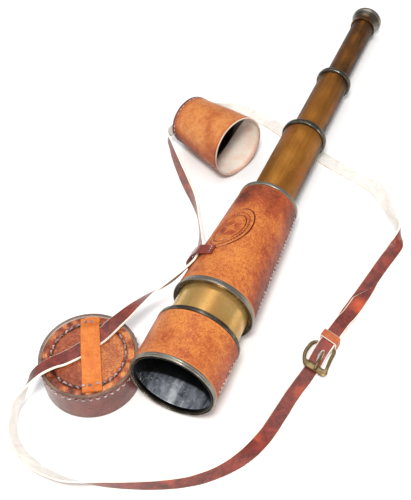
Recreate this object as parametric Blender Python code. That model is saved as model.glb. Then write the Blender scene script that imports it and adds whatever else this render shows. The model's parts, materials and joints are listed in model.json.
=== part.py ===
"""Three-draw brass telescope with leather sheaths, two leather caps and one buckled strap.

The telescope lies on z = 0 with its axis along +Y, objective end at the front (-Y).
All sizes below are in millimetres; MM turns them into Blender's metres.
"""
import math

import bmesh
import bpy
from mathutils import Matrix, Vector

MM = 0.001
GAP = 0.3              # between pieces that touch
RUN = 0.4              # between pieces that slide in each other
UP = Vector((0, 0, 1))

# ---- driving dimensions -------------------------------------------------------------
# Distances along the telescope run from the mouth of the sunshade to the eye.
MOUTH_R = 30.0
SHADE_LENGTH = 43.4
NECK_R = 25.2
BARREL_START, BARREL_END = 71.5, 170.2
SHEATH_R_FRONT, SHEATH_R_BACK = 28.7, 22.8
LEATHER = 1.5
DRAW_R = (16.4, 12.6, 9.6)
DRAW_WALL = 1.0
RING_R = (18.1, 14.7)
RING_END = (255.5, 330.2)
STOP_START = (150.5, 236.0, 312.0)
EYECUP_START, EYE_END = 410.0, 424.8
EYECUP_R = 13.2
# It rests on the flange at the front of its barrel and on the eyecup.
FLANGE_R, FLANGE_AT = 29.4, 68.0
TILT = math.asin((FLANGE_R - EYECUP_R) / (EYE_END - 0.5 - FLANGE_AT))
MOUTH_HEIGHT = FLANGE_R / math.cos(TILT) + FLANGE_AT * math.sin(TILT)

CAP_R, CAP_HEIGHT, CAP_WALL = 33.6, 25.4, 2.3
CAP_AT = (-64.4, 6.3)
CUP_MOUTH_R, CUP_END_R, CUP_LENGTH, CUP_WALL = 25.0, 19.8, 56.0, 1.6
CUP_AT, CUP_AZIMUTH = (-43.7, 222.0), math.radians(157.1)

STRAP_WIDTH, STRAP_THICK = 11.0, 1.4
BUCKLE_AT, BUCKLE_TURN = (76.2, 82.6), math.radians(-11.5)
HEEL_HEIGHT, HEEL_R = 3.5, 1.0
NOSE_FROM_HEEL = 19.0
PRONG_HOLE = (1.6, -9.9)

# The middle of the footprint of the telescope and its caps, set on the origin.
FOOTPRINT_MIDDLE = (-36.376, 198.817)

ROUND_LARGE, ROUND_SMALL = 32, 24


# ---- scene and materials ------------------------------------------------------------
for old in list(bpy.data.objects):
    bpy.data.objects.remove(old, do_unlink=True)


def make_material(name, colour, roughness, metallic=0.0):
    mat = bpy.data.materials.new(name)
    mat.use_nodes = True
    bsdf = mat.node_tree.nodes["Principled BSDF"]
    bsdf.inputs["Base Color"].default_value = (*colour, 1.0)
    bsdf.inputs["Roughness"].default_value = roughness
    bsdf.inputs["Metallic"].default_value = metallic
    return mat


SHEATH = make_material("sheath_leather", (0.45, 0.15, 0.03), 0.5)
CAP_LEATHER = make_material("cap_leather", (0.24, 0.07, 0.03), 0.4)
BAND_LEATHER = make_material("band_leather", (0.65, 0.26, 0.05), 0.6)
STRAP_LEATHER = make_material("strap_leather", (0.22, 0.05, 0.03), 0.4)
BRASS = make_material("aged_brass", (0.42, 0.29, 0.09), 0.35, 1.0)
PEWTER = make_material("dark_pewter", (0.22, 0.21, 0.19), 0.35, 1.0)
BRIGHT_TUBE = make_material("bare_metal", (0.35, 0.38, 0.40), 0.4, 1.0)
OLD_BRASS = make_material("buckle_brass", (0.33, 0.24, 0.12), 0.4, 1.0)
GLASS = make_material("lens_glass", (0.85, 0.92, 0.95), 0.02)


# ---- modelling helpers --------------------------------------------------------------
def empty(name, location=(0, 0, 0), rotation=(0, 0, 0), parent=None):
    node = bpy.data.objects.new(name, None)
    node.location = Vector(location) * MM
    node.rotation_euler = rotation
    node.parent = parent
    bpy.context.collection.objects.link(node)
    return node


def finish(name, bm, material, parent, location=(0, 0, 0), smooth=True):
    """Turn a bmesh in millimetres into a named object under its parent."""
    bmesh.ops.scale(bm, vec=(MM, MM, MM), verts=bm.verts)
    bmesh.ops.recalc_face_normals(bm, faces=bm.faces)
    mesh = bpy.data.meshes.new(name)
    bm.to_mesh(mesh)
    bm.free()
    for polygon in mesh.polygons:
        polygon.use_smooth = smooth
    mesh.materials.append(material)
    obj = bpy.data.objects.new(name, mesh)
    obj.location = Vector(location) * MM
    obj.parent = parent
    bpy.context.collection.objects.link(obj)
    return obj


def turned(name, outline, material, parent, at=0.0, steps=ROUND_LARGE):
    """A turned piece: the outline of (radius, distance) points spun about local Z."""
    bm = bmesh.new()
    verts = [bm.verts.new((r, 0, z)) for r, z in outline]
    edges = [bm.edges.new(pair) for pair in zip(verts, verts[1:])]
    if outline[0][0] > 0:
        edges.append(bm.edges.new((verts[-1], verts[0])))
    bmesh.ops.spin(bm, geom=verts + edges, cent=(0, 0, 0), axis=(0, 0, 1),
                   angle=math.tau, steps=steps, use_merge=True)
    bmesh.ops.remove_doubles(bm, verts=bm.verts, dist=0.001)
    return finish(name, bm, material, parent, (0, 0, at))


def ring_outline(inner, outer, start, end, edge=0.25):
    """A plain ring with small chamfers on its outer edges."""
    return [(inner, start), (outer - edge, start), (outer, start + edge),
            (outer, end - edge), (outer - edge, end), (inner, end)]


def lens_outline(radius, start, edge, front_bulge, back_bulge, points=3):
    """A lens: its rim is `edge` thick, and each face bulges out by its own amount."""
    def face(bulge):
        return [(radius * i / points, bulge * (1 - (i / points) ** 2)) for i in range(points + 1)]
    front = [(r, start - b) for r, b in face(front_bulge)]
    back = [(r, start + edge + b) for r, b in reversed(face(back_bulge))]
    return front + back


def strip(name, centres, normals, width, thick, material, parent, location=(0, 0, 0)):
    """A flat strip along its centre line, with its outer face towards the normals."""
    bm = bmesh.new()
    rows = []
    count = len(centres)
    for i, (centre, normal) in enumerate(zip(centres, normals)):
        ahead, behind = centres[min(i + 1, count - 1)], centres[max(i - 1, 0)]
        tangent = (ahead - behind).normalized()
        across = tangent.cross(normal).normalized()
        out = across.cross(tangent).normalized()
        corners = ((1, 1), (-1, 1), (-1, -1), (1, -1))
        rows.append([bm.verts.new(centre + across * (a * width / 2) + out * (b * thick / 2))
                     for a, b in corners])
    for row, following in zip(rows, rows[1:]):
        for k in range(4):
            bm.faces.new((row[k], row[(k + 1) % 4], following[(k + 1) % 4], following[k]))
    bm.faces.new(rows[0])
    bm.faces.new(rows[-1])
    return finish(name, bm, material, parent, location, smooth=False)


def smooth_route(points, per_span):
    """Catmull-Rom points through a route of equal-length tuples."""
    route = []
    last = len(points) - 1
    for i in range(last):
        p0, p1, p2, p3 = (points[max(i - 1, 0)], points[i], points[i + 1],
                          points[min(i + 2, last)])
        for step in range(per_span):
            t = step / per_span
            route.append([0.5 * (2 * b + (c - a) * t + (2 * a - 5 * b + 4 * c - d) * t * t
                                 + (3 * b - a - 3 * c + d) * t ** 3)
                          for a, b, c, d in zip(p0, p1, p2, p3)])
    route.append(list(points[-1]))
    return route


def box_cutter(name, target, size, location, parent):
    """Cut a box out of the target with a Boolean modifier."""
    bm = bmesh.new()
    bmesh.ops.create_cube(bm, size=1.0)
    bmesh.ops.scale(bm, vec=size, verts=bm.verts)
    cutter = finish(name, bm, BRASS, parent, location, smooth=False)
    cutter.hide_render = True
    cutter.display_type = "WIRE"
    cut = target.modifiers.new(name, "BOOLEAN")
    cut.operation = "DIFFERENCE"
    cut.solver = "EXACT"
    cut.object = cutter


def swept_rod(name, path, radii, side, material, parent, closed=False, sides=8):
    """A rod along a path that bends about `side`; radii are (along side, across it)."""
    bm = bmesh.new()
    rings = []
    count = len(path)
    for i, (point, (wide, high)) in enumerate(zip(path, radii)):
        if closed:
            tangent = path[(i + 1) % count] - path[i - 1]
        else:
            tangent = path[min(i + 1, count - 1)] - path[max(i - 1, 0)]
        across = side.cross(tangent).normalized()
        rings.append([bm.verts.new(point + side * (wide * math.cos(a)) + across * (high * math.sin(a)))
                      for a in (math.tau * k / sides for k in range(sides))])
    pairs = list(zip(rings, rings[1:])) + ([(rings[-1], rings[0])] if closed else [])
    for ring, following in pairs:
        for k in range(sides):
            bm.faces.new((ring[k], ring[(k + 1) % sides], following[(k + 1) % sides], following[k]))
    if not closed:
        bm.faces.new(rings[0])
        bm.faces.new(rings[-1])
    return finish(name, bm, material, parent)


# ---- where things hang --------------------------------------------------------------
layout = empty("layout", (-FOOTPRINT_MIDDLE[0], -FOOTPRINT_MIDDLE[1], 0))
# Local Z of telescope_axis runs from the mouth to the eye, and its local Y points down.
telescope = empty("telescope_axis", (0, 0, MOUTH_HEIGHT), (-(math.pi / 2 + TILT), 0, 0), layout)
sunshade = empty("sunshade_axis", parent=telescope)
draws = [empty(f"draw_axis_{i + 1}", parent=telescope) for i in range(3)]


# ---- sunshade -----------------------------------------------------------------------
shade_tube_inner, shade_tube_outer = MOUTH_R - 2.8, MOUTH_R - 1.8
bezel_depth, ring_depth = 3.3, 3.2
sleeve_start = bezel_depth + GAP
sleeve_end = SHADE_LENGTH - ring_depth - GAP
turned("sunshade_bezel",
       [(MOUTH_R - 3.4, 0.5), (MOUTH_R - 3.1, 0.2), (MOUTH_R - 2.0, 0.2), (MOUTH_R - 1.8, 0.8),
        (MOUTH_R - 1.4, 0.8), (MOUTH_R - 1.1, 0.0), (MOUTH_R - 0.3, 0.0), (MOUTH_R, 0.4),
        (MOUTH_R, bezel_depth), (MOUTH_R - 3.4, bezel_depth)], PEWTER, sunshade)
turned("sunshade_tube", ring_outline(shade_tube_inner, shade_tube_outer, sleeve_start, sleeve_end),
       BRIGHT_TUBE, sunshade)
turned("sunshade_sheath",
       ring_outline(shade_tube_outer + GAP, MOUTH_R - 0.2, sleeve_start, sleeve_end, 0.4),
       SHEATH, sunshade)
turned("sunshade_ring",
       ring_outline(NECK_R + RUN, MOUTH_R, SHADE_LENGTH - ring_depth, SHADE_LENGTH, 0.4),
       PEWTER, sunshade)

# ---- neck and objective -------------------------------------------------------------
guide_end = SHADE_LENGTH - ring_depth - 1.0
turned("objective_cell",
       [(21.5, guide_end - 2.6), (shade_tube_inner - RUN, guide_end - 2.6),
        (shade_tube_inner - RUN, guide_end), (NECK_R - 1.5, guide_end),
        (NECK_R - 1.5, guide_end + 12), (22.3, guide_end + 12), (22.3, guide_end), (21.5, guide_end)],
       PEWTER, telescope)
turned("objective_tube", ring_outline(NECK_R - 1.2, NECK_R, guide_end + GAP, BARREL_START + 3.5),
       BRASS, telescope)
turned("objective_crown_lens", lens_outline(22.0, guide_end + 2.3, 1.8, 1.9, 0.0), GLASS, telescope,
       steps=ROUND_SMALL)
turned("objective_flint_lens", lens_outline(22.0, guide_end + 4.5, 1.6, 0.0, 0.5), GLASS, telescope,
       steps=ROUND_SMALL)
turned("objective_retaining_ring", ring_outline(20.5, 22.0, guide_end + 6.6, guide_end + 8.6),
       PEWTER, telescope)

# ---- barrel -------------------------------------------------------------------------
taper = (SHEATH_R_FRONT - SHEATH_R_BACK) / (BARREL_END - BARREL_START)


def sheath_radius(distance):
    return SHEATH_R_FRONT - (distance - BARREL_START) * taper


def cone_outline(offset_in, offset_out, start, end, edge):
    """A conical sleeve that follows the sheath's taper at two depths below it."""
    def radius(distance, offset):
        return sheath_radius(distance) - offset
    return [(radius(start, offset_in), start), (radius(start, offset_out) - edge, start),
            (radius(start + edge, offset_out), start + edge),
            (radius(end - edge, offset_out), end - edge), (radius(end, offset_out) - edge, end),
            (radius(end, offset_in), end)]


tube_offset = LEATHER + GAP
turned("barrel_tube", cone_outline(tube_offset + 1.2, tube_offset, BARREL_START, BARREL_END, 0.1),
       BRASS, telescope)
turned("barrel_sheath", cone_outline(LEATHER, 0.0, BARREL_START, BARREL_END, 0.5), SHEATH, telescope)
turned("barrel_flange",
       [(NECK_R + GAP, 67.7), (NECK_R + 0.8, 67.3), (FLANGE_R - 1.2, 67.0), (FLANGE_R - 0.8, 66.8),
        (FLANGE_R - 0.2, 66.8), (FLANGE_R, 67.2), (FLANGE_R, FLANGE_AT + 0.7),
        (FLANGE_R - 0.5, 69.8), (FLANGE_R - 0.5, BARREL_START - GAP),
        (NECK_R + GAP, BARREL_START - GAP)], PEWTER, telescope)
collar_start, collar_end = BARREL_END + GAP, BARREL_END + 3.6
turned("barrel_collar", ring_outline(DRAW_R[0] + RUN, SHEATH_R_BACK + 0.3, collar_start, collar_end, 0.5),
       PEWTER, telescope)
turned("barrel_bush",
       ring_outline(DRAW_R[0] + RUN, sheath_radius(BARREL_END) - tube_offset - 1.5,
                    STOP_START[0] + 4.4, BARREL_END), BRASS, telescope)

# The bridge of leather on the barrel's left side that holds the strap against it.
LOOP_AT, LOOP_WIDTH, LOOP_THICK = 96.0, 8.0, 1.4
STRAP_ON_BARREL = math.radians(150)
loop_foot = sheath_radius(LOOP_AT - LOOP_WIDTH / 2) + GAP + LOOP_THICK / 2
loop_rise = 2.5


def around_barrel(degrees, radius, distance):
    angle = math.radians(degrees)
    return Vector((radius * math.cos(angle), -radius * math.sin(angle), distance))


loop_lift = ((-38, 0.0), (-30, 0.0), (-22, 0.5), (-15, 1.0), (-7, 1.0), (0, 1.0), (7, 1.0), (15, 1.0),
             (22, 0.5), (30, 0.0), (38, 0.0))
loop_angles = [math.degrees(STRAP_ON_BARREL) + turn for turn, _ in loop_lift]
strip("strap_loop",
      [around_barrel(angle, loop_foot + loop_rise * lift, LOOP_AT)
       for angle, (_, lift) in zip(loop_angles, loop_lift)],
      [around_barrel(angle, 1.0, 0.0) for angle in loop_angles],
      LOOP_WIDTH, LOOP_THICK, CAP_LEATHER, telescope)

# ---- draws --------------------------------------------------------------------------
# Each outer housing's bore sets how large the stop ring on the next draw may be.
stop_outer = (18.5, DRAW_R[0] - DRAW_WALL - RUN, DRAW_R[1] - DRAW_WALL - RUN)
tube_end = (RING_END[0] - 5.3, RING_END[1] - 5.0, EYECUP_START - GAP)
for i in range(3):
    bore = DRAW_R[i] - DRAW_WALL
    turned(f"draw_stop_{i + 1}", ring_outline(bore, stop_outer[i], STOP_START[i], STOP_START[i] + 3.4),
           BRASS, draws[i], steps=ROUND_SMALL)
    turned(f"draw_tube_{i + 1}", ring_outline(bore, DRAW_R[i], STOP_START[i] + 3.7, tube_end[i], 0.1),
           BRASS, draws[i], steps=ROUND_SMALL)
for i in range(2):
    guide = DRAW_R[i + 1] + RUN
    sleeve = DRAW_R[i] - DRAW_WALL - GAP
    front, back, outer = tube_end[i] + GAP, RING_END[i], RING_R[i]
    turned(f"draw_ring_{i + 1}",
           [(guide, STOP_START[i + 1] + 4.1), (sleeve, STOP_START[i + 1] + 4.1), (sleeve, front),
            (outer - 0.9, front), (outer - 0.2, front + 0.5), (outer, front + 1.2),
            (outer, back - 1.2), (outer - 0.4, back - 0.3), (outer - 1.2, back), (guide, back)],
           PEWTER, draws[i], steps=ROUND_SMALL)

# ---- erector and eyepiece, all in the last draw -------------------------------------
optics = draws[2]
cell_outer = DRAW_R[2] - DRAW_WALL - GAP
ERECTOR = 319.0
turned("erector_cell", ring_outline(6.9, cell_outer, ERECTOR, ERECTOR + 16), BRASS, optics,
       steps=ROUND_SMALL)
turned("erector_lens_front", lens_outline(6.6, ERECTOR + 2.0, 1.2, 0.8, 0.3), GLASS, optics,
       steps=ROUND_SMALL)
turned("erector_lens_back", lens_outline(6.6, ERECTOR + 12.5, 1.2, 0.3, 0.8), GLASS, optics,
       steps=ROUND_SMALL)
turned("aperture_stop", ring_outline(3.0, cell_outer, ERECTOR + 24, ERECTOR + 25.2, 0.1), PEWTER, optics,
       steps=ROUND_SMALL)
turned("eyepiece_cell", ring_outline(7.1, cell_outer, EYECUP_START - 15, EYECUP_START - GAP), BRASS, optics,
       steps=ROUND_SMALL)
turned("field_lens", lens_outline(6.8, EYECUP_START - 13, 1.2, 1.0, 0.0), GLASS, optics, steps=ROUND_SMALL)
turned("eye_lens", lens_outline(6.8, EYECUP_START - 4, 1.2, 1.2, 0.0), GLASS, optics, steps=ROUND_SMALL)
turned("eyecup",
       [(4.5, EYECUP_START + 4.0), (7.0, EYECUP_START + 4.0), (7.0, EYECUP_START),
        (11.0, EYECUP_START), (11.0, EYECUP_START + 1.0), (10.2, EYECUP_START + 1.4),
        (10.4, EYECUP_START + 5.0), (12.0, EYECUP_START + 9.5), (EYECUP_R, EYECUP_START + 12.2),
        (EYECUP_R, EYE_END - 0.8), (EYECUP_R - 0.6, EYE_END), (EYECUP_R - 1.6, EYE_END),
        (10.4, EYECUP_START + 11.0), (7.6, EYECUP_START + 7.0), (4.5, EYECUP_START + 5.6)],
       PEWTER, optics, steps=ROUND_SMALL)

# ---- objective cap: a round leather box, lying mouth down ---------------------------
cap = empty("objective_cap_axis", (*CAP_AT, 0), parent=layout)
disc_top = CAP_HEIGHT - 0.3
turned("objective_cap_wall",
       [(CAP_R - CAP_WALL, 0), (CAP_R - 0.3, 0), (CAP_R, 0.4), (CAP_R, CAP_HEIGHT - 0.6),
        (CAP_R - 0.5, CAP_HEIGHT), (CAP_R - CAP_WALL, CAP_HEIGHT)], CAP_LEATHER, cap)
turned("objective_cap_disc",
       [(0, disc_top - 2.4), (CAP_R - CAP_WALL - GAP, disc_top - 2.4),
        (CAP_R - CAP_WALL - GAP, disc_top), (0, disc_top)], CAP_LEATHER, cap)

# The strap crosses the cap on this line, and the band crosses over the strap.
strap_over_cap = Vector((-0.45, -0.893, 0.0)).normalized()
STRAP_CAP_POINT = Vector((-70.2, 6.3, 0.0))
strap_cap_height = CAP_HEIGHT + GAP + 0.1 + STRAP_THICK / 2
band_along = Vector((-0.484, 0.875, 0.0)).normalized()
BAND_WIDTH, BAND_THICK = 13.0, 1.3
band_low = disc_top + GAP + BAND_THICK / 2
band_high = strap_cap_height + STRAP_THICK / 2 + GAP + BAND_THICK / 2
band_profile = ((-27.6, 0.0), (-14.0, 0.0), (-7.5, 0.4), (-1.5, 1.0), (4.0, 1.0), (9.0, 1.0), (14.0, 1.0),
                (21.0, 1.0), (24.8, 0.3), (27.5, 0.0), (30.3, 0.0))
band_middle = Vector((2.9, -0.7, 0.0))
strip("objective_cap_band",
      [band_middle + band_along * s + UP * (band_low + (band_high - band_low) * lift)
       for s, lift in band_profile],
      [UP] * len(band_profile), BAND_WIDTH, BAND_THICK, BAND_LEATHER, cap)

# ---- eye cap: a leather cup lying on its side ---------------------------------------
cup_slope = math.asin((CUP_MOUTH_R - CUP_END_R) / CUP_LENGTH)
cup_z = Vector((math.cos(CUP_AZIMUTH) * math.cos(cup_slope),
                math.sin(CUP_AZIMUTH) * math.cos(cup_slope), -math.sin(cup_slope)))
cup_x = Vector((-math.sin(CUP_AZIMUTH), math.cos(CUP_AZIMUTH), 0))
cup_y = cup_z.cross(cup_x)
cup_turn = Matrix((cup_x, cup_y, cup_z)).transposed()
cup_mouth = Vector((*CUP_AT, CUP_MOUTH_R * math.cos(cup_slope) + 0.06))
cup = empty("eye_cap_axis", cup_mouth, cup_turn.to_euler(), layout)
floor_of_cup = CUP_LENGTH - CUP_WALL
turned("eye_cap_wall",
       [(CUP_MOUTH_R - CUP_WALL, 0), (CUP_MOUTH_R - 0.2, 0), (CUP_MOUTH_R, 0.3),
        (CUP_END_R + 0.1, CUP_LENGTH - 0.7), (CUP_END_R - 0.5, CUP_LENGTH),
        (CUP_END_R - CUP_WALL, CUP_LENGTH)], SHEATH, cup)
turned("eye_cap_disc",
       [(0, floor_of_cup), (CUP_END_R - CUP_WALL - GAP, floor_of_cup),
        (CUP_END_R - CUP_WALL - GAP, CUP_LENGTH - 0.2), (0, CUP_LENGTH - 0.2)], CAP_LEATHER, cup)
strap_off_cup = CUP_LENGTH + GAP + STRAP_THICK / 2
CUP_BAND_WIDTH = 9.0
cup_band_low = CUP_LENGTH - 0.2 + GAP + BAND_THICK / 2
cup_band_high = strap_off_cup + STRAP_THICK / 2 + GAP + BAND_THICK / 2
cup_band_profile = ((-17.0, 0.0), (-11.5, 0.0), (-6.5, 1.0), (0.0, 1.0), (6.5, 1.0), (11.5, 0.0), (17.0, 0.0))
strip("eye_cap_band",
      [Vector((0, s, cup_band_low + (cup_band_high - cup_band_low) * lift)) for s, lift in cup_band_profile],
      [UP] * len(cup_band_profile), CUP_BAND_WIDTH, BAND_THICK, BAND_LEATHER, cup)

# ---- strap --------------------------------------------------------------------------
# The route is x, y, height of the strap's middle, and how far its glazed face has
# turned from upwards (0) towards the outside of the loop (90) and downwards (180).
buckle = empty("buckle_axis", (*BUCKLE_AT, HEEL_HEIGHT), (0, 0, BUCKLE_TURN), layout)
along_buckle = Vector((-math.sin(BUCKLE_TURN), math.cos(BUCKLE_TURN), 0))
flat, on_edge = STRAP_THICK / 2, STRAP_WIDTH / 2 + 0.05


def by_buckle(along, height):
    place = Vector((*BUCKLE_AT, 0)) + along_buckle * along
    return (place.x, place.y, height, 0)


def on_barrel(distance):
    """The strap flat against the barrel, under its loop."""
    radius = sheath_radius(distance) + 0.5 + STRAP_THICK / 2
    lift = radius * math.sin(STRAP_ON_BARREL) - distance * math.tan(TILT)
    return (radius * math.cos(STRAP_ON_BARREL), distance, MOUTH_HEIGHT + lift, 60)


def over_cap(along, raised=0.0, turn=0):
    place = STRAP_CAP_POINT + strap_over_cap * along
    return (place.x, place.y, strap_cap_height + raised, turn)


def past_cup(along, drop=0.0):
    place = cup_mouth + cup_z * strap_off_cup + cup_x * along
    return (place.x, place.y, place.z - drop, 90 + math.degrees(cup_slope))


STRAP_ROUTE = (
    # the lower layer: out of the folded end at the buckle, along the surface
    [by_buckle(5, HEEL_HEIGHT), by_buckle(14.5, HEEL_HEIGHT), (79.1, 100.5, 2.7, 0), (79.3, 106.0, 1.4, 0),
     (80.3, 113, flat, 0), (81.7, 120, flat, 0), (84.2, 132, flat, 0), (87.3, 147, flat, 0),
     (91.0, 166, flat, 2), (94.8, 182.5, 1.6, 12),
     # it turns over to lie glazed face down
     (96.0, 190.5, 4.4, 48), (94.6, 199.0, on_edge, 86), (89.0, 207.0, 5.5, 98), (81.4, 217.5, 5.3, 112),
     (73.5, 228.0, 4.2, 132), (66.0, 236.5, 2.4, 158), (56.0, 242.0, 0.9, 178), (43.0, 246.5, flat, 180),
     (22.0, 253.5, flat, 180), (0.0, 262.5, flat, 180), (-22.0, 272.5, flat, 180), (-40.0, 280.5, flat, 180),
     # up on edge behind the eye cap and through the band on its closed end
     (-57.0, 284.0, 1.5, 171), (-70.0, 281.5, 4.6, 142), (-79.5, 274.5, 9.0, 112)]
    + [past_cup(-24, 5.0), past_cup(-12, 1.5), past_cup(0), past_cup(12)]
    + [(-105.2, 223.4, 18.6, 93), (-99.8, 216.0, 12.0, 80), (-89.8, 204.8, 7.0, 69),
       (-75.8, 189.0, 5.8, 65), (-64.0, 176.0, 6.4, 73), (-54.0, 162.5, 8.6, 85), (-45.6, 147.5, 14.5, 88),
       (-37.0, 131.0, 24.5, 82), (-29.6, 115.0, 35.0, 70)]
    + [on_barrel(103), on_barrel(96), on_barrel(89)]
    + [(-29.2, 79.5, 40.5, 64), (-35.5, 71.0, 36.5, 62), (-43.0, 62.0, 32.8, 48), (-49.5, 51.5, 30.2, 28),
       (-54.8, 41.5, 27.8, 10), (-58.2, 34.0, 26.9, 3)]
    + [over_cap(-18), over_cap(-9), over_cap(0)]
    # off the cap, rolling on edge, and round the front in one wide turn
    + [(-77.0, -3.6, 27.0, 4), (-81.9, -10.0, 28.3, 12), (-86.6, -19.3, 29.9, 24), (-89.9, -26.8, 27.2, 43),
       (-93.5, -33.2, 19.8, 70), (-96.6, -40.5, 11.0, 92), (-94.6, -49.5, 5.6, 104), (-88.7, -57.8, 4.9, 118),
       (-81.4, -63.5, 4.8, 126), (-73.0, -67.6, 4.5, 132), (-62.0, -71.0, 4.4, 134),
       (-46.0, -71.8, 4.9, 127), (-33.5, -69.4, 5.2, 116), (-20.0, -65.2, on_edge, 100),
       (-5.0, -60.0, on_edge, 90), (13.0, -52.5, on_edge, 82), (30.0, -43, on_edge, 76),
       (44.0, -30.5, 5.3, 66), (54.5, -15, 4.2, 44), (61.0, 3, 2.2, 16), (64.4, 22, flat, 2),
       (67.0, 39, flat, 0), (70.2, 53.5, flat, 0)]
    # through the buckle, over the heel bar and down to the pointed tip
    + [by_buckle(-NOSE_FROM_HEEL, 1.5), by_buckle(-14.5, 3.1), by_buckle(-9.2, 5.9), by_buckle(-4.5, 7.0),
       by_buckle(0.5, 7.3), by_buckle(6, 7.1), by_buckle(16, 6.85), by_buckle(24, 5.9), (82.6, 111.5, 5.0, 0),
       (84.4, 120, 4.1, 0), (86.0, 130.5, 3.2, 0), (87.2, 140, 2.55, 0), (87.6, 147.4, 2.4, 0)])

strap_line, strap_normals = [], []
samples = smooth_route(STRAP_ROUTE, 2)
for index, (x, y, z, turn) in enumerate(samples):
    centre = Vector((x, y, z))
    ahead = samples[min(index + 1, len(samples) - 1)]
    behind = samples[max(index - 1, 0)]
    heading = Vector((ahead[k] - behind[k] for k in range(3))).normalized()
    outside = heading.cross(UP).normalized()
    upward = outside.cross(heading)
    angle = math.radians(turn)
    reach_down = STRAP_WIDTH / 2 * abs(math.sin(angle)) + STRAP_THICK / 2 * abs(math.cos(angle))
    centre.z = max(z, reach_down + 0.02)
    strap_line.append(centre)
    strap_normals.append(upward * math.cos(angle) + outside * math.sin(angle))
strap = strip("carry_strap", strap_line, strap_normals, STRAP_WIDTH, STRAP_THICK, STRAP_LEATHER, layout)
box_cutter("cut_prong_hole", strap, (2.8, 8.2, 8.0), (*PRONG_HOLE, 1.0), buckle)
# The tongue's end is cut on a slant, its point on the outer side.
tip = empty("strap_tip", (92.6, 146.8, 2.8), (0, 0, math.radians(-33.3)), layout)
box_cutter("cut_strap_tip", strap, (20.0, 50.0, 2.4), (-10.0, -15.0, 0), tip)

# ---- buckle, in its own frame: local Y points along the strap, Z up -----------------
nose_y, nose_middle, nose_top = -NOSE_FROM_HEEL, 0.5, 4.9 - HEEL_HEIGHT
nose_bar = [(9.3, nose_y - 0.5, nose_middle), (5.0, nose_y - 0.3, nose_middle), (0.4, nose_y, nose_middle),
            (-4.0, nose_y + 0.5, nose_middle)]
# Its left side bows out, and its right side runs straight down to the wide flat nose.
frame_path = ([(-6.6, 0.2, 0.0), (-2.5, 0.0, 0.0), (2.5, 0.0, 0.0), (6.4, 0.0, 0.0), (7.4, -2.0, 0.0),
               (7.9, -6.5, 0.0), (8.8, -11.5, 0.2), (9.7, -16.0, 0.4)] + nose_bar
              + [(-7.0, nose_y + 2.4, 0.4), (-9.0, -13.0, 0.3), (-9.8, -8.5, 0.1), (-9.3, -2.6, 0.0)])
frame_radii = [(HEEL_R, HEEL_R)] * 4 + [(1.1, 1.2)] * 4 + [(0.9, 2.6)] * 4 + [(1.1, 1.3)] * 4
swept_rod("buckle_frame", [Vector(p) for p in frame_path], frame_radii, UP, OLD_BRASS, buckle, closed=True)

prong_r = 0.6
eye_r = HEEL_R + GAP + prong_r
# It curls from below the bar, round behind it and over the top, then out to the nose.
eye_turns = [math.radians(a) for a in range(-100, 121, 20)]
rest_height = nose_top + GAP + prong_r
prong_path = ([Vector((0, eye_r * math.cos(a), eye_r * math.sin(a))) for a in eye_turns]
              + [Vector((0.5, -3.0, 1.45)), Vector((1.5, -9.0, 1.5)), Vector((2.7, nose_y + 2.7, rest_height)),
                 Vector((3.4, nose_y - 2.2, rest_height))])
prong_widths = [0.6] * (len(prong_path) - 4) + [0.7, 0.8, 1.1, 1.1]
swept_rod("buckle_prong", prong_path, [(wide, prong_r) for wide in prong_widths], Vector((1, 0, 0)),
          OLD_BRASS, buckle, sides=6)

# The folded piece that holds the heel bar, with the strap's end sewn between its layers.
CHAPE_THICK, CHAPE_LENGTH = 1.0, 15.0
inner = HEEL_R + GAP
fold = [math.radians(a) for a in range(90, 271, 30)]
chape_outline = ([(CHAPE_LENGTH, inner), ] + [(inner * math.cos(a), inner * math.sin(a)) for a in fold]
                 + [(CHAPE_LENGTH, -inner), (CHAPE_LENGTH, -inner - CHAPE_THICK)]
                 + [((inner + CHAPE_THICK) * math.cos(a), (inner + CHAPE_THICK) * math.sin(a))
                    for a in reversed(fold)] + [(CHAPE_LENGTH, inner + CHAPE_THICK)])
bm = bmesh.new()
side_face = bm.faces.new([bm.verts.new((-STRAP_WIDTH / 2, y, z)) for y, z in chape_outline])
spread = bmesh.ops.extrude_face_region(bm, geom=[side_face])
bmesh.ops.translate(bm, vec=(STRAP_WIDTH, 0, 0),
                    verts=[v for v in spread["geom"] if isinstance(v, bmesh.types.BMVert)])
chape = finish("strap_chape", bm, STRAP_LEATHER, buckle, smooth=False)
box_cutter("cut_prong_slot", chape, (2.2, 6.4, 8.0), (0, 0, 0), buckle)

KEEPER_AT, KEEPER_LEAN, KEEPER_WIDTH, KEEPER_THICK = 5.5, 0.14, 6.4, 0.9
keeper_half = STRAP_WIDTH / 2 + GAP + KEEPER_THICK / 2
keeper_bottom = -HEEL_HEIGHT + KEEPER_THICK / 2
keeper_top = 7.25 + STRAP_THICK / 2 + GAP + KEEPER_THICK / 2 - HEEL_HEIGHT
bm = bmesh.new()
rows = []
for y in (KEEPER_AT - KEEPER_WIDTH / 2, KEEPER_AT + KEEPER_WIDTH / 2):
    for grow in (-KEEPER_THICK / 2, KEEPER_THICK / 2):
        corners = ((-1, keeper_bottom - grow), (1, keeper_bottom - grow), (1, keeper_top + grow),
                   (-1, keeper_top + grow))
        across = keeper_half + grow
        rows.append([bm.verts.new((side * across, y - side * across * KEEPER_LEAN, z)) for side, z in corners])
for a, b in ((0, 1), (2, 3), (0, 2), (1, 3)):
    for k in range(4):
        bm.faces.new((rows[a][k], rows[a][(k + 1) % 4], rows[b][(k + 1) % 4], rows[b][k]))
finish("strap_keeper", bm, BAND_LEATHER, buckle, smooth=False)
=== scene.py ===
"""Looks of the three-draw brass telescope: strap, leather, metal, glass and stitching.

Named sizes are in millimetres and MM turns them into metres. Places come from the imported
frame. Distances along the telescope run from the sunshade's mouth to the eye, and angles
round it are measured from +X towards the top.
"""
import json
import math

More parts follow.
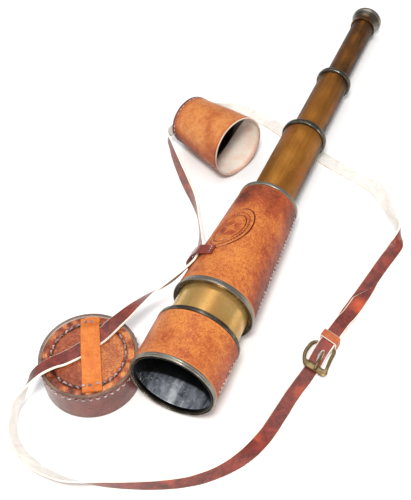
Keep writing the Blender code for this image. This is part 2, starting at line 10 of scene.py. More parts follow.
import bmesh
import bpy
import numpy as np
from mathutils import Matrix, Vector, noise


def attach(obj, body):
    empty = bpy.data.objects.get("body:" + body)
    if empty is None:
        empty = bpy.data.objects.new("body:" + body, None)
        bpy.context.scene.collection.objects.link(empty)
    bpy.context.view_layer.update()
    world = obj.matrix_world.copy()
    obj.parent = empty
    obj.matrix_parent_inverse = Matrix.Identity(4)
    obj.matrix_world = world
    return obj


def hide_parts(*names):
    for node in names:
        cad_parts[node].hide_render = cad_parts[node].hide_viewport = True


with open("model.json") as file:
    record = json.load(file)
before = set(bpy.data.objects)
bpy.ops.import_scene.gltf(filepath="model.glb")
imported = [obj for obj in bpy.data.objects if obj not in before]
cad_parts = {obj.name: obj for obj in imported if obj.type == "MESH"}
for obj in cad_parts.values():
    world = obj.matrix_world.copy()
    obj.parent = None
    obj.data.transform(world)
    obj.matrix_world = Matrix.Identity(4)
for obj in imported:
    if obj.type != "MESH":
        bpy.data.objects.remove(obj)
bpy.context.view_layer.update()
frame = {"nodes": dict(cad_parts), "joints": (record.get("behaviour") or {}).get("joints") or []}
MM = 0.001
UP = Vector((0, 0, 1))
GAP = 0.3            # left between pieces that lie against each other
ON_AXIS = 0.01       # a smaller radius counts as on the axis


def add_object(name, data):
    obj = bpy.data.objects.new(name, data)
    bpy.context.scene.collection.objects.link(obj)
    return obj


# ---- camera -------------------------------------------------------------------------
CAMERA_PLACE = Vector((0.2061, -0.4674, 0.5477))
HEADING, LOOKS_DOWN, ROLL = math.radians(27.03), 0.880, -0.087
camera_data = bpy.data.cameras.new("camera")
camera_data.sensor_width = 36.0
camera_data.lens = 68.0
camera = add_object("camera", camera_data)
camera.matrix_world = (Matrix.Translation(CAMERA_PLACE) @ Matrix.Rotation(HEADING, 4, "Z")
                       @ Matrix.Rotation(math.pi / 2 - LOOKS_DOWN, 4, "X") @ Matrix.Rotation(ROLL, 4, "Z"))
bpy.context.scene.camera = camera


# ---- places read from the frame -----------------------------------------------------
def joint(name):
    return next(j for j in frame["joints"] if j["name"] == name)


def middle(node):
    """The mean of a node's corners, which is on the axis of a turned piece."""
    corners = {tuple(round(c, 7) for c in v.co) for v in frame["nodes"][node].data.vertices}
    return Vector([sum(p[k] for p in corners) / len(corners) for k in range(3)])


def axis_place(direction, point, across):
    """A frame whose Z runs along the direction and whose X is nearest to `across`."""
    z = Vector(direction).normalized()
    x = (Vector(across) - z * z.dot(Vector(across))).normalized()
    place = Matrix((x, z.cross(x), z)).transposed().to_4x4()
    place.translation = point
    return place


def slide_to_start(place, node):
    """Move a frame along its Z so that the node starts at distance 0."""
    inverse = place.inverted()
    start = min((inverse @ v.co).z for v in frame["nodes"][node].data.vertices)
    return place @ Matrix.Translation((0, 0, start))


telescope = slide_to_start(axis_place(joint("sunshade_slide")["axis"], middle("sunshade_bezel"), (1, 0, 0)),
                           "sunshade_bezel")
cap_middle = middle("objective_cap_wall")
objective_cap = axis_place(UP, (cap_middle.x, cap_middle.y, 0), (1, 0, 0))
cup_axis = middle("eye_cap_disc") - middle("eye_cap_wall")
eye_cap = slide_to_start(axis_place(cup_axis, middle("eye_cap_wall"), joint("eye_cap_slide")["axis"]),
                         "eye_cap_wall")
hinge = joint("buckle_frame_hinge")
buckle = axis_place(UP, hinge["pos_m"], -Vector(hinge["axis"]))


def outline_of(node, place):
    """The closed or open outline of a turned CAD node: (radius, distance) in order, in mm."""
    inverse = place.inverted()
    mesh = frame["nodes"][node].data
    keys = []
    for vertex in mesh.vertices:
        x, y, z = (inverse @ vertex.co) / MM
        keys.append((round(x, 2), round(z, 2)) if abs(y) < 0.01 and x > -0.01 else None)
    near = {}
    for edge in mesh.edges:
        a, b = (keys[i] for i in edge.vertices)
        if a and b and a != b:
            near.setdefault(a, set()).add(b)
            near.setdefault(b, set()).add(a)
    on_axis = sorted(k for k in near if k[0] < 0.01)
    start = on_axis[0] if on_axis else min(near)
    chain = [start]
    while True:
        following = [k for k in near[chain[-1]]
                     if k not in chain and not (k in on_axis and chain[-1] in on_axis)]
        if not following:
            break
        chain.append(min(following))
    if not on_axis and (len(chain) < 3 or chain[0] not in near[chain[-1]]):
        # A plain disc: its flat ends have no point on the axis.
        chain = [(0.0, chain[0][1]), *chain, (0.0, chain[-1][1])]
    return [(abs(r), z) for r, z in chain]


# ---- mesh helpers -------------------------------------------------------------------
def make_piece(name, points, faces, materials, body, place, replaces=(), groups=None,
               paint=None, sharp=50, declare=True):
    """A closed mesh from points in millimetres in the frame `place`, riding on a body.

    Its vertices are in the row frame, and `where` keeps each one's own millimetres for the patterns.
    """
    mesh = bpy.data.meshes.new(name)
    points = np.asarray(points, float)
    turn, shift = np.array(place.to_3x3()), np.array(place.translation)
    mesh.from_pydata((points * MM @ turn.T + shift).tolist(), [], faces)
    mesh.attributes.new("where", "FLOAT_VECTOR", "POINT").data.foreach_set(
        "vector", points.astype(np.float32).ravel())
    for material in materials:
        mesh.materials.append(material)
    if groups is not None:
        mesh.polygons.foreach_set("material_index", groups)
    for key, values in (paint or {}).items():
        layer = mesh.attributes.new(key, "FLOAT", "POINT")
        layer.data.foreach_set("value", np.asarray(values, np.float32).ravel())
    right_normals(mesh)
    mesh.shade_smooth()
    mesh.set_sharp_from_angle(angle=math.radians(sharp))
    obj = add_object(name, mesh)
    if declare:
        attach(obj, body)
    if replaces:
        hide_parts(*replaces)
    return obj


def grid_faces(rows, columns, wrap_rows=False, wrap_columns=True):
    """Quads over a rows x columns grid of points."""
    faces = []
    for i in range(rows if wrap_rows else rows - 1):
        low, high = i * columns, (i + 1) % rows * columns
        for k in range(columns if wrap_columns else columns - 1):
            after = (k + 1) % columns
            faces.append((low + k, low + after, high + after, high + k))
    return faces


def end_faces(rows, columns, base=0):
    """The two caps of an open tube made by grid_faces."""
    return [tuple(base + row * columns + k for k in range(columns)) for row in (0, rows - 1)]


def run_at(line, i, closed=False):
    """From the point before to the point after, along a line."""
    if closed:
        return line[(i + 1) % len(line)] - line[i - 1]
    return line[min(i + 1, len(line) - 1)] - line[max(i - 1, 0)]


def right_normals(mesh):
    bm = bmesh.new()
    bm.from_mesh(mesh)
    bmesh.ops.remove_doubles(bm, verts=bm.verts, dist=1e-6)
    bmesh.ops.recalc_face_normals(bm, faces=bm.faces)
    bm.to_mesh(mesh)
    bm.free()


def smooth(x):
    """0 below 0 and 1 above 1, with an even bend between."""
    x = np.clip(x, 0, 1)
    return x * x * (3 - 2 * x)


def wrapped(angle):
    """An angle brought to between -pi and pi."""
    return (angle + math.pi) % math.tau - math.pi


def graded(start, end, coarse, zones=()):
    """Positions from start to end, closer together in each zone (low, high, step)."""
    positions = [start]
    while positions[-1] < end - 1e-9:
        here = positions[-1]
        step = min([coarse] + [s for low, high, s in zones if low - 1e-9 <= here < high])
        stops = [low for low, high, s in zones if low > here + 1e-9]
        positions.append(min([here + step, end] + stops))
    return np.array(positions)


def soften(outline, radius, closed=True, longest=3.0):
    """Round an outline's corners and divide its long runs."""
    count, steps = len(outline), 3
    rounded = []
    for i, corner in enumerate(outline):
        corner = Vector(corner)
        if not closed and i in (0, count - 1):
            rounded.append(corner)
            continue
        before, after = Vector(outline[i - 1]), Vector(outline[(i + 1) % count])
        a = corner + (before - corner).normalized() * min(radius, 0.45 * (before - corner).length)
        b = corner + (after - corner).normalized() * min(radius, 0.45 * (after - corner).length)
        for k in range(steps + 1):
            t = k / steps
            rounded.append(a * (1 - t) ** 2 + corner * (2 * t * (1 - t)) + b * t ** 2)
    full = []
    for i, point in enumerate(rounded):
        full.append(point)
        if closed or i < len(rounded) - 1:
            following = rounded[(i + 1) % len(rounded)]
            parts = math.ceil((following - point).length / longest)
            full += [point.lerp(following, k / parts) for k in range(1, parts)]
    return [tuple(p) for p in full]


def turned(name, outline, material, body, place, replaces=(), steps=144, materials=None,
           group_of=None, paint_of=None, angles=None, relief=None):
    """Spin an outline about its frame's Z. relief(angle, radius, distance) moves it outwards."""
    closed = outline[0][0] > ON_AXIS
    radius, distance = np.array(outline).T
    turn = np.arange(steps) * math.tau / steps if angles is None else angles
    a, r, z = turn[:, None], radius[None, :], distance[None, :]
    full_r = r + relief(a, r, z) if relief else r + 0 * a
    points = np.stack([full_r * np.cos(a), -full_r * np.sin(a), z + 0 * a], axis=2)
    rows, columns = points.shape[:2]
    faces = grid_faces(rows, columns, wrap_rows=True, wrap_columns=closed)
    per_row = columns if closed else columns - 1
    groups = None
    if group_of:
        mid_r = (radius + np.roll(radius, -1)) / 2
        mid_z = (distance + np.roll(distance, -1)) / 2
        groups = [group_of(mid_r[k], mid_z[k]) for k in range(per_row)] * rows
    paint = {key: f(a + 0 * r, r + 0 * a, z + 0 * a) for key, f in (paint_of or {}).items()}
    return make_piece(name, points.reshape(-1, 3), faces, materials or [material], body, place,
                      replaces, groups, paint)


def around(angle, radius, distance):
    return Vector((radius * math.cos(angle), -radius * math.sin(angle), distance))


def stitch_ring(count, share, radius, distance):
    """Stitches round a turned wall, each `share` of the pitch long."""
    stitches = []
    for k in range(count):
        spots = [around(math.tau * (k + part) / count, radius, distance) for part in (0.0, share)]
        out = spots[0] + spots[1]
        stitches.append((*spots, (out.x, out.y, 0)))
    return stitches


def curve_points(points, per_span, closed=False):
    """Catmull-Rom points through equal-length tuples."""
    count = len(points)
    route = []
    for i in range(count if closed else count - 1):
        if closed:
            quad = [points[(i + k) % count] for k in (-1, 0, 1, 2)]
        else:
            quad = [points[min(max(i + k, 0), count - 1)] for k in (-1, 0, 1, 2)]
        for step in range(per_span):
            t = step / per_span
            route.append(tuple(0.5 * (2 * b + (c - a) * t + (2 * a - 5 * b + 4 * c - d) * t * t
                                      + (3 * b - a - 3 * c + d) * t ** 3)
                               for a, b, c, d in zip(*quad)))
    if not closed:
        route.append(tuple(points[-1]))
    return route


def ribbon_section(width, thick, corner, across, skive):
    """A flat strip's section: (across, up, group) with face 0, edge 1 and back 2.

    Its left edge is cut on a slant, by `skive` across.
    """
    half, deep, crown = width / 2, thick / 2, 0.06
    points = []
    for side, group in ((1, 0), (-1, 2)):
        for k in range(across):
            u = -1 + 2 * k / (across - 1)
            points.append((side * u * (half - corner), side * (deep + crown * (1 - u * u)),
                           group if k < across - 1 else 1))
        for k in (1, 2, 3):
            a = math.radians(90 - 22.5 * k)
            points.append((side * (half - corner + corner * math.cos(a)),
                           side * (deep - corner + corner * math.sin(a)), 1))
        points.append((side * half, 0, 1))
        for k in (1, 2, 3):
            a = math.radians(-22.5 * k)
            points.append((side * (half - corner + corner * math.cos(a)),
                           side * (-deep + corner + corner * math.sin(a)), 1))
    return [(u + skive * min(max((w + deep) / (2 * deep), 0), 1) * (half - u) / width, w, group)
            for u, w, group in points]


def ribbon(name, line, normals, width, thick, materials, body, place, replaces=(), closed=False,
           taper=None, lean=0.0, wobble=0.0, across=7, corner=0.35, declare=True, skive=0.0, worn=()):
    """A leather strip along a line, its face towards the normals.

    taper(i) scales its width, about its right edge where lean is 1. It is bare at the worn
    spots (centre, reach).
    """
    section = ribbon_section(width, thick, corner, across, skive)
    count, points, ups, bare = len(line), [], [], []
    travelled = 0.0
    for i, (centre, normal) in enumerate(zip(line, normals)):
        tangent = run_at(line, i, closed).normalized()
        side = tangent.cross(normal).normalized()
        out = side.cross(tangent).normalized()
        travelled += (centre - line[i - 1]).length if i else 0.0
        scale = taper(i) if taper else 1.0
        shift = lean * (1 - scale) * width / 2
        scale *= 1 + wobble * noise.noise(Vector((travelled * 0.11, 3, 0)))
        for u, w, group in section:
            point = centre + side * (u * scale + shift) + out * w
            points.append(point)
            ups.append(abs(u) * 2 / width)
            bare.append(max([0.0] + [1.2 - (point - spot).length / reach for spot, reach in worn]))
    columns = len(section)
    faces = grid_faces(count, columns, wrap_rows=closed)
    groups = [g for _, _, g in section] * (count if closed else count - 1)
    groups = [min(g, len(materials) - 1) for g in groups]
    if not closed:
        faces += end_faces(count, columns)
        groups += [min(1, len(materials) - 1)] * 2
    return make_piece(name, points, faces, materials, body, place, replaces, groups,
                      {"edge": ups, "raw": bare}, declare=declare)


def rod(name, path, sections, side, material, body, place, replaces=(), closed=False, sides=20,
        square=2.6):
    """A rod along a path that bends about `side`; sections are (half along side, half across it)."""
    points, count = [], len(path)
    for i, (point, (high, wide)) in enumerate(zip(path, sections)):
        across = side.cross(run_at(path, i, closed)).normalized()
        for k in range(sides):
            a = math.tau * k / sides
            c, s = math.cos(a), math.sin(a)
            c, s = math.copysign(abs(c) ** (2 / square), c), math.copysign(abs(s) ** (2 / square), s)
            points.append(point + side * (high * c) + across * (wide * s))
    faces = grid_faces(count, sides, wrap_rows=closed)
    if not closed:
        faces += end_faces(count, sides)
    return make_piece(name, points, faces, [material], body, place, replaces)


def threads(name, stitches, radius, material, body, place, rise=0.9):
    """Sewn stitches, each an arched thread between (start, end) above a surface facing `out`."""
    points, faces, sides, rings = [], [], 8, 9
    for start, end, out in stitches:
        start, end, out = Vector(start), Vector(end), Vector(out).normalized()
        along = (end - start).normalized()
        side = along.cross(out).normalized()
        base = len(points)
        for i in range(rings):
            t = i / (rings - 1)
            lift = radius * (rise * 2 * math.sin(math.pi * t) - 1.25 + 0.35 * math.sin(math.pi * t) ** 0.5)
            thick = radius * (0.72 + 0.28 * math.sin(math.pi * t))
            centre = start.lerp(end, t) + out * lift
            points += [centre + side * (thick * math.cos(a)) + out * (thick * math.sin(a))
                       for a in (math.tau * k / sides for k in range(sides))]
        faces += [tuple(base + v for v in face) for face in grid_faces(rings, sides)]
        faces += end_faces(rings, sides, base)
    return make_piece(name, points, faces, [material], body, place, sharp=80)


# ---- materials ----------------------------------------------------------------------
def tint(red, green, blue):
    """A screen colour (0 to 255) as the linear colour that a shader takes."""
    return tuple(((c / 255 + 0.055) / 1.055) ** 2.4 if c > 10 else c / 255 / 12.92
                 for c in (red, green, blue))


SOCKETS = {"coat_weight": "Coat Weight", "coat_roughness": "Coat Roughness", "ior": "IOR",
           "sheen_weight": "Sheen Weight", "sheen_roughness": "Sheen Roughness",
           "transmission_weight": "Transmission Weight"}


class Finish:
    """One material's nodes. Patterns are in millimetres and stay with their piece."""

    def __init__(self, name, roughness=0.5, metallic=0.0, **sockets):
        self.material = bpy.data.materials.new(name)
        self.material.use_nodes = True
        self.tree = self.material.node_tree
        self.shader = self.tree.nodes["Principled BSDF"]
        self.shader.inputs["Roughness"].default_value = roughness
        self.shader.inputs["Metallic"].default_value = metallic
        for socket, value in sockets.items():
            self.shader.inputs[SOCKETS[socket]].default_value = value
        where = self.tree.nodes.new("ShaderNodeAttribute")
        where.attribute_name = "where"
        self.place = where.outputs["Vector"]

    def put(self, value, socket):
        if isinstance(value, bpy.types.NodeSocket):
            self.tree.links.new(value, socket)
        elif isinstance(value, tuple) and socket.type == "RGBA":
            socket.default_value = (*value, 1.0)
        else:
            socket.default_value = value

    def scaled(self, vector, scale):
        node = self.tree.nodes.new("ShaderNodeVectorMath")
        node.operation = "MULTIPLY"
        self.put(vector, node.inputs[0])
        node.inputs[1].default_value = scale
        return node.outputs[0]

    def noise(self, scale, detail=3.0, rough=0.55, stretch=None, twist=0.0, shift=0.0):
        node = self.tree.nodes.new("ShaderNodeTexNoise")
        place = self.scaled(self.place, stretch) if stretch else self.place
        if shift:
            move = self.tree.nodes.new("ShaderNodeVectorMath")
            self.put(place, move.inputs[0])
            move.inputs[1].default_value = (shift, shift * 0.7, -shift)
            place = move.outputs[0]
        for key, value in (("Vector", place), ("Scale", scale), ("Detail", detail),
                           ("Roughness", rough), ("Distortion", twist)):
            self.put(value, node.inputs[key])
        return node.outputs["Fac"]

    def cells(self, scale):
        node = self.tree.nodes.new("ShaderNodeTexVoronoi")
        self.put(self.place, node.inputs["Vector"])
        self.put(scale, node.inputs["Scale"])
        return node.outputs["Distance"]

    def ramp(self, value, *stops):
        """A colour or a grey for each stop (position, colour)."""
        node = self.tree.nodes.new("ShaderNodeValToRGB")
        self.put(value, node.inputs["Fac"])
        elements = node.color_ramp.elements
        while len(elements) < len(stops):
            elements.new(0.5)
        for element, (position, colour) in zip(elements, stops):
            element.position = position
            element.color = (*colour, 1.0) if isinstance(colour, tuple) else (colour, colour, colour, 1.0)
        return node.outputs["Color"]

    def mix(self, factor, a, b):
        node = self.tree.nodes.new("ShaderNodeMix")
        node.data_type = "RGBA"
        self.put(factor, node.inputs[0])
        self.put(a, node.inputs[6])
        self.put(b, node.inputs[7])
        return node.outputs[2]

    def math(self, operation, a, b):
        node = self.tree.nodes.new("ShaderNodeMath")
        node.operation = operation
        self.put(a, node.inputs[0])
        self.put(b, node.inputs[1])
        return node.outputs[0]

    def total(self, *terms):
        """The sum of (value, weight) terms."""
        result = None
        for value, weight in terms:
            part = self.math("MULTIPLY", value, weight)
            result = part if result is None else self.math("ADD", result, part)
        return result

    def painted(self, key):
        node = self.tree.nodes.new("ShaderNodeAttribute")
        node.attribute_name = key
        return node.outputs["Fac"]

    def colour(self, value):
        self.put(value, self.shader.inputs["Base Color"])

    def roughness(self, value):
        self.put(value, self.shader.inputs["Roughness"])

    def bumps(self, *layers):
        """Layers of (height, depth in mm)."""
        normal = None
        for height, depth in layers:
            node = self.tree.nodes.new("ShaderNodeBump")
            node.inputs["Strength"].default_value = 1.0
            node.inputs["Distance"].default_value = depth * MM
            self.put(height, node.inputs["Height"])
            if normal:
                self.put(normal, node.inputs["Normal"])
            normal = node.outputs["Normal"]
        self.put(normal, self.shader.inputs["Normal"])


def blend(a, b, share):
    return tuple(p + (q - p) * share for p, q in zip(a, b))


def leather(name, light, warm, deep, raw, speckle=1.0, rough=(0.45, 0.62), coat=0.08, shift=0.0, grain=1.0):
    """Oiled hide: soft patches, a pebbled speckle, dark where wear and painted shade are marked, `raw` at cut
    edges.
    """
    light, warm, deep, raw = (tint(*colour) for colour in (light, warm, deep, raw))
    f = Finish(name, coat_weight=coat, coat_roughness=0.3, ior=1.38)
    broad = f.noise(0.03, 2, shift=shift)
    patches = f.noise(0.09, 5, 0.6, twist=0.5, shift=shift)
    mottle = f.noise(0.36, 4, 0.65, shift=shift)
    pebbles = f.noise(0.8, 3, 0.75, shift=shift + 3)
    tone = f.total((broad, 0.4), (patches, 0.55), (mottle, 0.45 * speckle), (pebbles, 0.75 * speckle),
                   (f.painted("age_and_shade"), 0.42))
    middle_tone = 0.475 + 0.6 * speckle
    body = f.ramp(f.math("SUBTRACT", tone, middle_tone - 0.44), (0.22, light), (0.52, warm),
                  (0.7, blend(warm, deep, 0.5)), (0.92, deep))
    dots = f.ramp(f.noise(1.0, 3, 0.7, shift=shift + 9), (0.52, 0.0), (0.6, 1.0))
    body = f.mix(f.math("MULTIPLY", dots, 0.5 * speckle), body, blend(warm, deep, 0.5))
    # Dark seam marks, and painted shade deep inside the eye cap, are mixed in here.
    body = f.mix(f.painted("ink_and_painted_light"), body, tuple(c * 0.35 for c in deep))
    body = f.mix(f.painted("raw"), body, raw)
    f.colour(body)
    f.roughness(f.ramp(patches, (0.3, rough[0]), (0.7, rough[1])))
    f.bumps((f.cells(0.7), 0.10 * grain), (f.noise(0.55, 4, 0.6, twist=0.8), 0.22 * grain),
            (f.noise(3.2, 2), 0.04 * grain))
    return f.material


def drawn_brass(name, light, warm, deep, rough=(0.42, 0.56), shift=0.0, metallic=0.4, streak=0.28):
    """Old lacquered tube: soft stains, faint streaks along it, and fine scratches."""
    light, warm, deep = (tint(*colour) for colour in (light, warm, deep))
    f = Finish(name, metallic=metallic, ior=1.3)
    streaks = f.noise(0.45, 4, 0.6, stretch=(1, 1, 0.05), shift=shift)
    stains = f.noise(0.045, 4, 0.55, stretch=(1, 1, 0.6), twist=0.5, shift=shift)
    specks = f.noise(0.9, 4, 0.7)
    tone = f.total((streaks, streak), (stains, 0.5), (specks, 0.25), (f.painted("age_and_shade"), 0.5))
    middle_tone = (streak + 0.75) / 2
    body = f.ramp(tone, (middle_tone - 0.16, light), (middle_tone + 0.04, warm), (middle_tone + 0.36, deep))
    rosy = f.ramp(f.noise(0.035, 3, 0.5, stretch=(1, 1, 0.5), shift=shift + 40), (0.54, 0.0), (0.68, 0.5))
    body = f.mix(rosy, body, tuple(c * k for c, k in zip(warm, (1.15, 0.78, 0.7))))
    pits = f.ramp(f.noise(2.4, 2, 0.6), (0.66, 0.0), (0.76, 0.4))
    f.colour(f.mix(pits, body, tuple(c * 0.4 for c in deep)))
    f.roughness(f.ramp(f.total((stains, 0.6), (specks, 0.4)), (0.35, rough[0]), (0.65, rough[1])))
    f.bumps((f.noise(2.2, 3, 0.6, stretch=(1, 1, 0.02)), 0.015), (stains, 0.08), (specks, 0.015))
    return f.material


def cast_metal(name, light, warm, deep, rough=(0.22, 0.4), shift=0.0, ring_marks=0.02):
    """Turned fittings: fine lathe rings, dark tarnish, bright where rubbed, and brass-brown where a painted
    reflection is marked.
    """
    light, warm, deep = (tint(*colour) for colour in (light, warm, deep))
    f, brown = Finish(name, metallic=0.9), (0.12, 0.05, 0.012)
    patches = f.noise(0.1, 4, 0.6, twist=0.5, shift=shift)
    rings = f.noise(4.5, 2, 0.5, stretch=(0.03, 0.03, 1))
    specks = f.noise(1.2, 3, 0.7)
    tone = f.total((patches, 0.6), (specks, 0.2), (rings, 0.15), (f.painted("age_and_shade"), 0.5),
                   (f.painted("rub"), -0.4))
    f.colour(f.mix(f.painted("ink_and_painted_light"), f.ramp(tone, (0.3, light), (0.48, warm), (0.7, deep)), brown))
    f.roughness(f.ramp(f.total((patches, 0.6), (specks, 0.4)), (0.35, rough[0]), (0.65, rough[1])))
    f.bumps((rings, ring_marks), (patches, 0.06), (specks, 0.02))
    return f.material


def bore_metal():
    """The bare inside of the sunshade's tube: grey-blue streaks, stains and chips, darker at the sides and
    black deep inside where painted shade is marked.
    """
    f = Finish("bare_tube_bore", metallic=0.45)
    streaks = f.noise(0.17, 5, 0.65, stretch=(1, 1, 0.14), twist=0.4)
    stains = f.noise(0.12, 5, 0.7, twist=0.8)
    scratch = f.ramp(f.noise(1.1, 2, 0.5, stretch=(1, 1, 0.03), shift=9), (0.64, 0.0), (0.68, 1.0))
    chips = f.ramp(f.noise(0.42, 4, 0.75, shift=5), (0.62, 0.0), (0.66, 1.0))
    tone = f.total((streaks, 0.6), (stains, 0.55), (f.painted("age_and_shade"), 0.6))
    body = f.ramp(tone, (0.42, tint(226, 230, 236)), (0.56, tint(150, 156, 168)), (0.72, tint(66, 70, 78)),
                  (0.95, tint(14, 14, 15)))
    body = f.mix(f.math("MULTIPLY", scratch, 0.25), body, tint(235, 232, 228))
    body = f.mix(f.math("MULTIPLY", chips, 0.85), body, tint(240, 238, 232))
    f.colour(f.mix(f.painted("ink_and_painted_light"), body, tint(9, 9, 9)))
    f.roughness(f.ramp(stains, (0.3, 0.32), (0.7, 0.55)))
    f.bumps((streaks, 0.08), (chips, 0.06), (scratch, 0.03))
    return f.material


def glazed_leather(name, light, warm, deep, worn):
    """The strap's polished face: wine and brown patches, fine cross creases, worn spots."""
    light, warm, deep, worn = (tint(*colour) for colour in (light, warm, deep, worn))
    f = Finish(name, coat_weight=0.2, coat_roughness=0.25, ior=1.4)
    patches = f.noise(0.09, 5, 0.65, twist=0.8)
    mottle = f.noise(0.45, 4, 0.7, twist=0.4)
    fine = f.noise(1.1, 4, 0.7)
    tone = f.total((patches, 0.7), (mottle, 0.35), (fine, 0.35))
    body = f.ramp(tone, (0.5, light), (0.68, warm), (0.88, deep))
    rub = f.ramp(f.noise(0.05, 3, 0.6, shift=31), (0.6, 0.0), (0.7, 0.7))
    body = f.mix(rub, body, worn)
    body = f.mix(f.ramp(f.painted("edge"), (0.86, 0.0), (0.97, 0.75)), body, tuple(c * 0.45 for c in deep))
    f.colour(f.mix(f.painted("raw"), body, worn))
    f.roughness(f.ramp(fine, (0.35, 0.28), (0.7, 0.46)))
    f.bumps((f.cells(1.5), 0.06), (f.noise(0.7, 4, 0.65, twist=1.2), 0.18))
    return f.material


def suede(name, light, warm, deep, shift=0.0, stain=0.7):
    """The rough flesh side of hide: short fibres, faint stains, and near black where painted shade is marked.
    """
    light, warm, deep = (tint(*colour) for colour in (light, warm, deep))
    f = Finish(name, roughness=0.92, sheen_weight=0.25, sheen_roughness=0.6)
    patches = f.noise(0.09, 5, 0.65, twist=0.7, shift=shift)
    fibres = f.noise(2.4, 4, 0.75, twist=1.5)
    tone = f.total((patches, stain), (fibres, 0.5), (f.painted("age_and_shade"), 0.6))
    middle_tone = 0.25 + stain / 2
    body = f.ramp(tone, (middle_tone - 0.1, light), (middle_tone + 0.06, warm), (middle_tone + 0.26, deep))
    f.colour(f.mix(f.painted("ink_and_painted_light"), body, tuple(c * 0.08 for c in deep)))
    f.bumps((fibres, 0.12), (f.noise(0.6, 4, 0.6), 0.2))
    return f.material


def waxed_thread(name, light, dark):
    """Twisted sewing thread with dirt worked into it."""
    light, dark = (tint(*colour) for colour in (light, dark))
    f = Finish(name, roughness=0.75)
    dirt = f.noise(0.35, 4, 0.7)
    strands = f.noise(3.0, 2, 0.6, twist=1.0)
    f.colour(f.ramp(f.total((dirt, 0.9), (strands, 0.3)), (0.45, light), (0.75, dark)))
    f.bumps((strands, 0.12))
    return f.material


def optical_glass():
    """Old uncoated glass: clear, with a faint haze of dust."""
    f = Finish("optical_glass", transmission_weight=1.0, ior=1.52)
    f.colour(tint(236, 244, 242))
    f.roughness(f.ramp(f.noise(0.6, 4, 0.7), (0.45, 0.01), (0.75, 0.07)))
    return f.material


SHEATH = leather("sheath_hide", (206, 126, 56), (162, 72, 32), (72, 26, 14), (196, 116, 56),
                 coat=0.12)
CUP = leather("eye_cap_hide", (214, 146, 76), (174, 88, 40), (84, 32, 20), (204, 166, 136),
              speckle=0.55, shift=17.0)
CAP = leather("objective_cap_hide", (138, 64, 40), (98, 40, 28), (48, 18, 14), (150, 118, 98),
              speckle=0.8, rough=(0.24, 0.4), coat=0.45, shift=41.0)
DISC = leather("cap_disc_hide", (208, 132, 70), (152, 72, 40), (58, 24, 18), (168, 134, 108),
               speckle=1.15, rough=(0.36, 0.56), coat=0.2, shift=23.0, grain=1.6)
BAND = leather("band_hide", (220, 138, 58), (196, 102, 40), (136, 58, 24), (226, 152, 84),
               speckle=0.6, rough=(0.5, 0.7), coat=0.04, shift=5.0)
LOOP = leather("loop_hide", (150, 60, 36), (104, 34, 22), (46, 14, 12), (214, 160, 130),
               speckle=0.8, rough=(0.18, 0.34), coat=0.6, shift=11.0)
KEEPER = leather("keeper_hide", (192, 106, 62), (160, 80, 46), (100, 42, 26), (238, 222, 200),
                 speckle=0.8, shift=13.0)
STRAP_FACE = glazed_leather("strap_glazed_face", (160, 66, 50), (120, 50, 40), (62, 30, 28),
                            (190, 82, 48))
STRAP_BACK = suede("strap_flesh_side", (240, 236, 229), (226, 220, 211), (186, 176, 164))
STRAP_EDGE = suede("strap_cut_edge", (250, 240, 226), (242, 226, 208), (206, 170, 148), shift=8.0)
CUP_LINING = suede("eye_cap_lining", (255, 246, 234), (255, 228, 208), (236, 182, 156), shift=3.0,
                   stain=0.8)
CAP_RIM = suede("cap_cut_rim", (166, 140, 118), (122, 98, 82), (64, 46, 40), shift=6.0)
TUBE_BRASS = drawn_brass("draw_tube_brass", (176, 118, 46), (140, 88, 28), (58, 34, 8))
NECK_BRASS = drawn_brass("neck_brass", (232, 196, 126), (196, 156, 88), (120, 84, 42), shift=13.0,
                         rough=(0.24, 0.36), metallic=0.75, streak=0.05)
INNER_BRASS = drawn_brass("inner_brass", (190, 150, 92), (150, 112, 62), (92, 64, 34), shift=29.0)
PEWTER = cast_metal("dark_turned_metal", (138, 132, 120), (82, 76, 64), (34, 30, 24))
BLACKED = cast_metal("blackened_metal", (96, 92, 86), (58, 54, 50), (24, 22, 20), rough=(0.4, 0.6))
BORE = bore_metal()
BUCKLE_BRASS = cast_metal("antique_buckle_brass", (176, 154, 112), (122, 102, 68), (54, 42, 26),
                          shift=19.0, ring_marks=0.0)
PALE_THREAD = waxed_thread("pale_thread", (228, 206, 200), (84, 54, 52))
DARK_THREAD = waxed_thread("dirty_thread", (206, 178, 172), (60, 38, 40))
GLASS = optical_glass()


# ---- strap --------------------------------------------------------------------------
# The route of the CAD strap: x, y and height of its middle in millimetres, and how far
# its glazed face has turned from upwards (0) to outwards (90) and downwards (180).
STRAP_WIDTH, STRAP_THICK = 11.0, 1.4
FOOTPRINT_MIDDLE = (-36.376, 198.817)
BUCKLE_AT, BUCKLE_TURN = (76.2, 82.6), math.radians(-11.5)
HEEL_HEIGHT, HEEL_R, NOSE_FROM_HEEL = 3.5, 1.0, 19.0
MOUTH_HEIGHT = telescope.translation.z / MM
TILT = math.asin(-telescope.col[2].z)
SHEATH_START, SHEATH_END = 71.5, 170.2
SHEATH_R_FRONT, SHEATH_R_BACK = 28.7, 22.8
CAP_HEIGHT = 25.4
CLOSED_END = 56.0    # the eye cap's closed end, from its mouth
flat, on_edge = STRAP_THICK / 2, STRAP_WIDTH / 2 + 0.05
along_buckle = Vector((-math.sin(BUCKLE_TURN), math.cos(BUCKLE_TURN), 0))
strap_over_cap = Vector(joint("objective_cap_slide")["axis"])


def sheath_radius(distance):
    taper = (SHEATH_R_FRONT - SHEATH_R_BACK) / (SHEATH_END - SHEATH_START)
    return SHEATH_R_FRONT - (distance - SHEATH_START) * taper


def by_buckle(along, height):
    place = Vector((*BUCKLE_AT, 0)) + along_buckle * along
    return (place.x, place.y, height, 0)


def on_barrel(distance):
    """The strap flat against the barrel, under its loop."""
    radius, side = sheath_radius(distance) + 0.5 + STRAP_THICK / 2, math.radians(150)
    lift = radius * math.sin(side) - distance * math.tan(TILT)
    return (radius * math.cos(side), distance, MOUTH_HEIGHT + lift, 60)


def over_cap(along):
    place = Vector((-70.2, 6.3, 0.0)) + strap_over_cap * along
    return (place.x, place.y, CAP_HEIGHT + 0.4 + STRAP_THICK / 2, 0)


